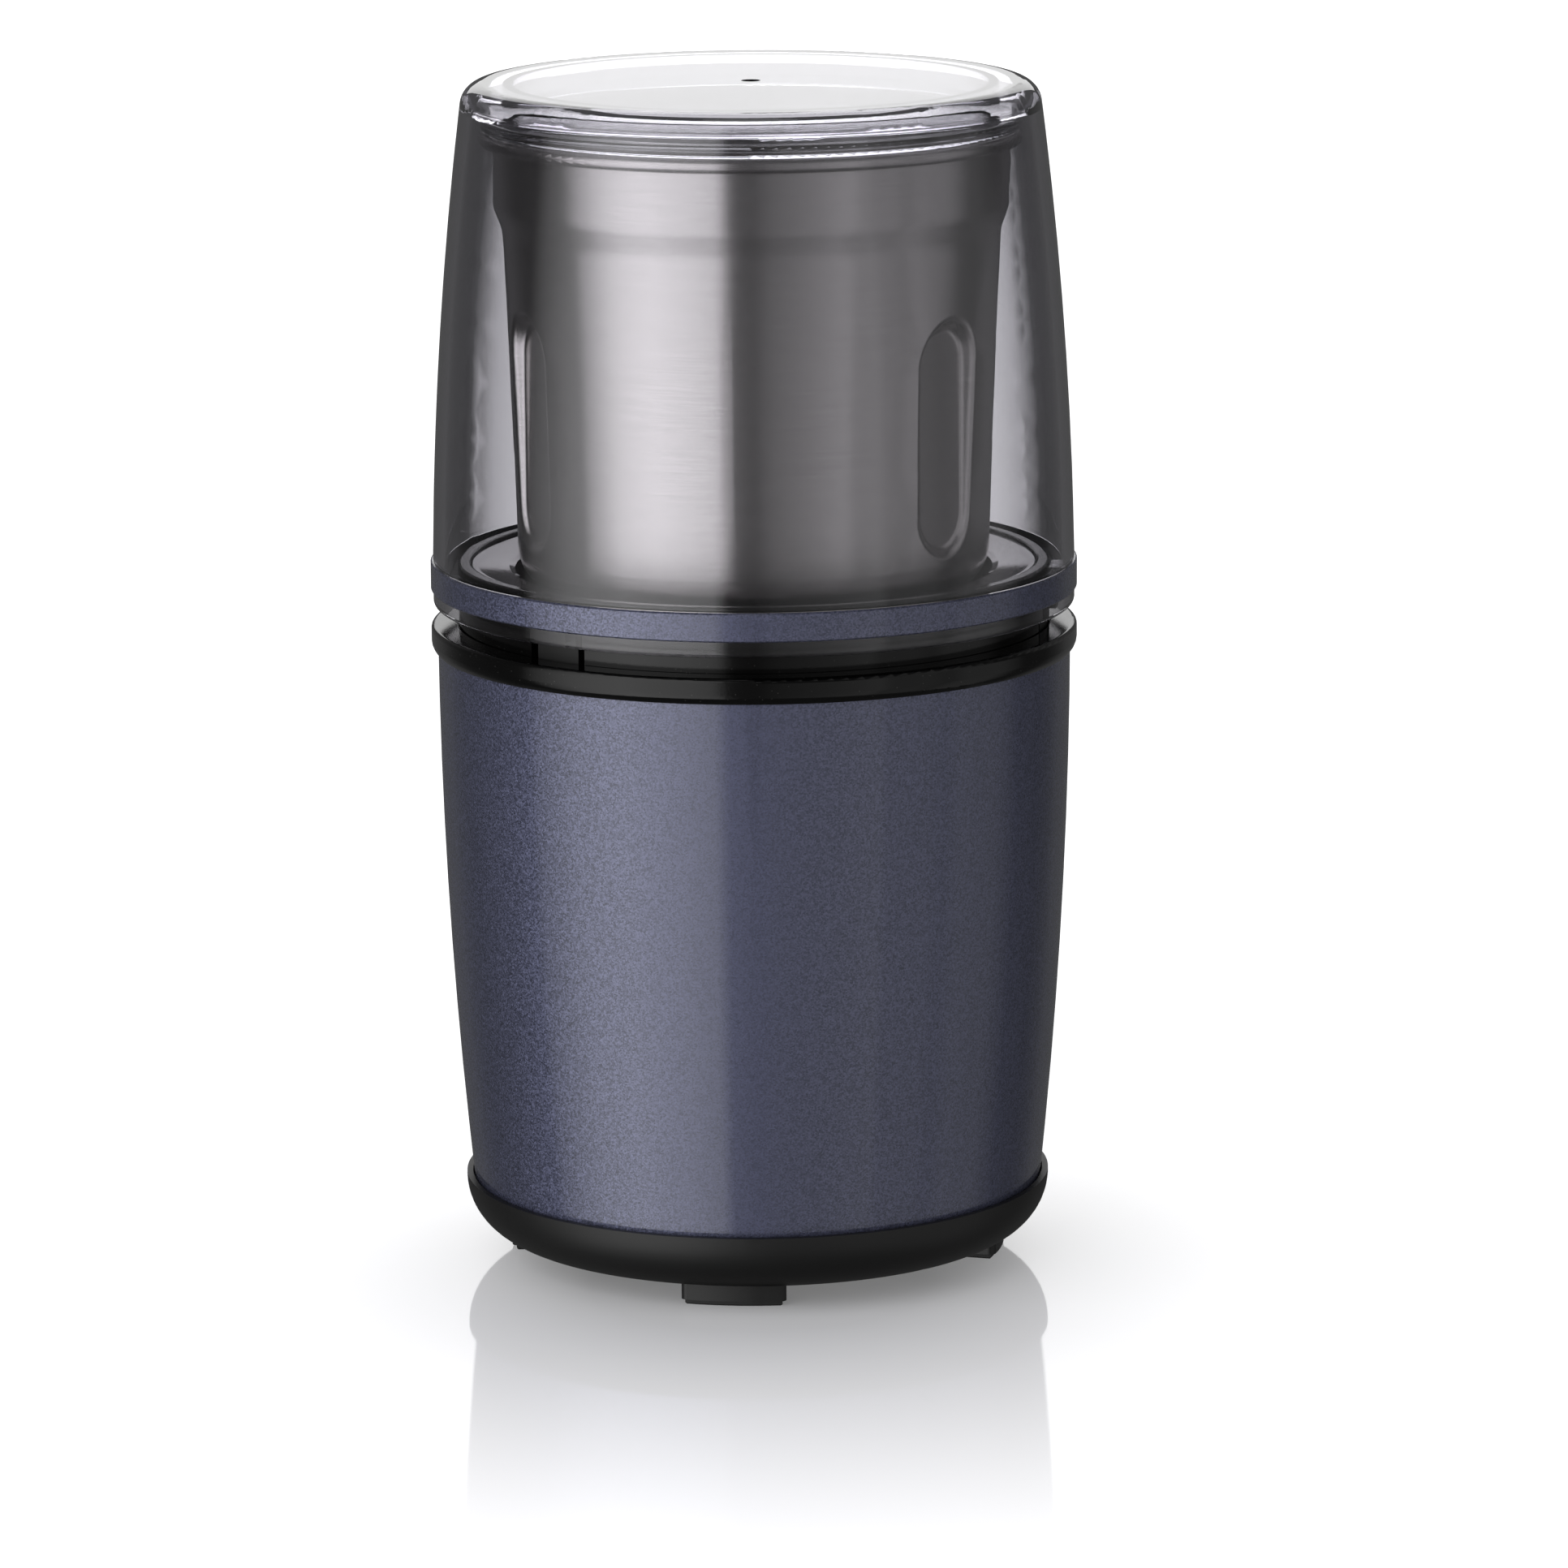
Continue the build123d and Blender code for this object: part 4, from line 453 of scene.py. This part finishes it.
def white_world():
    """White to the eye, a plain level to matt, and to gloss and clear plastic a dark ceiling.

    Gloss sees a light straight above in that ceiling too.
    """
    world = bpy.data.worlds.new("studio")
    world.use_nodes = True
    tree = world.node_tree
    rays = add(tree, "ShaderNodeLightPath").outputs
    matt = add(tree, "ShaderNodeMath", {0: rays["Is Diffuse Ray"], 1: MATT_LEVEL}, operation="MULTIPLY")
    gloss_or_clear = add(
        tree,
        "ShaderNodeMath",
        {0: rays["Is Glossy Ray"], 1: rays["Is Transmission Ray"]},
        operation="MAXIMUM",
    )
    ceiling = add(
        tree, "ShaderNodeMath", {0: gloss_or_clear.outputs[0], 1: CEILING_LEVEL}, operation="MULTIPLY"
    )
    direction = add(tree, "ShaderNodeTexCoord").outputs["Generated"]
    height = add(tree, "ShaderNodeSeparateXYZ", {0: direction}).outputs["Z"]
    lowest = math.sin(math.radians(TOP_LIGHT_ELEVATION))
    overhead = add(tree, "ShaderNodeMath", {0: height, 1: lowest}, operation="GREATER_THAN")
    light = add(tree, "ShaderNodeMath", {0: overhead.outputs[0], 1: TOP_LIGHT_LEVEL}, operation="MULTIPLY")
    top_light = add(
        tree, "ShaderNodeMath", {0: rays["Is Glossy Ray"], 1: light.outputs[0]}, operation="MULTIPLY"
    )
    level = rays["Is Camera Ray"]
    for part in (matt, ceiling, top_light):
        level = add(tree, "ShaderNodeMath", {0: level, 1: part.outputs[0]}, operation="ADD").outputs[0]
    background = tree.nodes["Background"]
    tree.links.new(level, background.inputs["Strength"])
    background.inputs["Color"].default_value = linear("#ffffff")
    scene.world = world


def softbox(name, azimuth, distance, width, height, base, radiance):
    """A rectangular lamp for matt surfaces; azimuth is from the camera's side, positive to the right."""
    data = bpy.data.lights.new(name, "AREA")
    data.shape = "RECTANGLE"
    data.size, data.size_y = width, height
    data.energy = radiance * math.pi * width * height
    lamp = bpy.data.objects.new(name, data)
    angle = math.radians(azimuth)
    lamp.location = (distance * math.sin(angle), -distance * math.cos(angle), base + height / 2)
    lamp.rotation_euler = (math.radians(90), 0, angle)
    lamp.visible_camera = lamp.visible_glossy = lamp.visible_transmission = False
    scene.collection.objects.link(lamp)


def floor():
    """Pale glossy acrylic sheet, which keeps the shadow and a faint mirror image. To the eye it also glows,
    less near the object: a painted shade round its foot.
    """
    bpy.ops.mesh.primitive_circle_add(vertices=FLOOR_SIDES, radius=FLOOR_RADIUS, fill_type="NGON")
    sheet = bpy.context.object
    sheet.name = "floor"
    material, tree, shader, place = start_material(
        "white_acrylic", Base_Color=linear("#f6f6fa"), Roughness=0.05, IOR=1.65
    )
    # painted shade: the floor's glow to the eye is dimmer the nearer it lies to the object
    reach = add(tree, "ShaderNodeVectorMath", {0: place, 1: PAINTED_SHADE_CENTRE}, operation="DISTANCE")
    painted_shade_fade = add(
        tree,
        "ShaderNodeMapRange",
        {
            "Value": reach.outputs["Value"],
            "From Min": FADE_START,
            "From Max": FADE_END,
            "To Min": PAINTED_SHADE_LEVEL,
            "To Max": FADE_WHITE,
        },
    )
    eye = add(tree, "ShaderNodeLightPath").outputs["Is Camera Ray"]
    lift = add(tree, "ShaderNodeMath", {0: eye, 1: painted_shade_fade.outputs["Result"]}, operation="MULTIPLY")
    shader.inputs["Emission Color"].default_value = linear("#ffffff")
    tree.links.new(lift.outputs[0], shader.inputs["Emission Strength"])
    sheet.data.materials.append(material)
    sheet.visible_glossy = sheet.visible_transmission = False


def level_ramp(tree, around, stops):
    """Emission that follows the stops, which are pairs of bearing and level, round the axis."""
    levels = add(tree, "ShaderNodeValToRGB", {"Fac": around})
    brightest = max(stop[1] for stop in stops)
    ramp = levels.color_ramp.elements
    while len(ramp) < len(stops):
        ramp.new(0.5)
    for element, (bearing, level) in zip(ramp, stops):
        element.position = (bearing + 180) / 360
        element.color = [level / brightest] * 3 + [1.0]
    emission = add(tree, "ShaderNodeEmission", {"Color": levels.outputs["Color"], "Strength": brightest})
    return emission.outputs[0]


def drum_wall():
    """The studio as reflections, and the eye through clear plastic, see it."""
    middle = (DRUM_TOP + DRUM_FOOT) / 2
    bpy.ops.mesh.primitive_cylinder_add(
        vertices=DRUM_SIDES,
        radius=DRUM_RADIUS,
        depth=DRUM_TOP - DRUM_FOOT,
        end_fill_type="NOTHING",
        location=(0, 0, middle),
    )
    wall = bpy.context.object
    wall.name = "studio_wall"
    material, tree, shader, place = start_material("studio_wall")
    tree.nodes.remove(shader)
    turned = add(tree, "ShaderNodeMapping", {"Vector": place, "Rotation": (0, 0, math.radians(90))})
    gradient = add(tree, "ShaderNodeTexGradient", {"Vector": turned.outputs[0]}, gradient_type="RADIAL")
    around = gradient.outputs["Fac"]
    axes = add(tree, "ShaderNodeSeparateXYZ", {"Vector": place})
    edge = DRUM_RADIUS * math.cos(math.radians(BACKDROP_HALF_ANGLE))
    behind = add(tree, "ShaderNodeMath", {0: axes.outputs["Y"], 1: edge}, operation="GREATER_THAN")

    def backdrop_above(foot, strength):
        """The part of the backdrop above a level, as an emission."""
        above = add(
            tree, "ShaderNodeMath", {0: axes.outputs["Z"], 1: foot - middle}, operation="GREATER_THAN"
        )
        part = add(tree, "ShaderNodeMath", {0: behind.outputs[0], 1: above.outputs[0]}, operation="MULTIPLY")
        scaled = add(tree, "ShaderNodeMath", {0: part.outputs[0], 1: strength}, operation="MULTIPLY")
        return add(tree, "ShaderNodeEmission", {"Strength": scaled.outputs[0]}).outputs[0]

    reflected = add(
        tree,
        "ShaderNodeAddShader",
        {0: level_ramp(tree, around, DRUM_LEVELS), 1: backdrop_above(BACKDROP_FOOT, BACKDROP_LEVEL)},
    )
    seen_through = add(
        tree,
        "ShaderNodeAddShader",
        {0: level_ramp(tree, around, THROUGH_LEVELS), 1: backdrop_above(OVERHEAD_FOOT, OVERHEAD_LEVEL)},
    )
    bounces = add(tree, "ShaderNodeLightPath").outputs["Glossy Depth"]
    after_gloss = add(tree, "ShaderNodeMath", {0: bounces, 1: 0.5}, operation="GREATER_THAN")
    mix = add(
        tree,
        "ShaderNodeMixShader",
        {0: after_gloss.outputs[0], 1: seen_through.outputs[0], 2: reflected.outputs[0]},
    )
    tree.links.new(mix.outputs[0], tree.nodes["Material Output"].inputs["Surface"])
    wall.data.materials.append(material)
    wall.visible_camera = wall.visible_diffuse = wall.visible_shadow = False


bpy.ops.object.select_all(action="DESELECT")
white_world()
floor()
drum_wall()
softbox("key_softbox", azimuth=-46, distance=1.1, width=1.5, height=1.6, base=0.0, radiance=1.1)
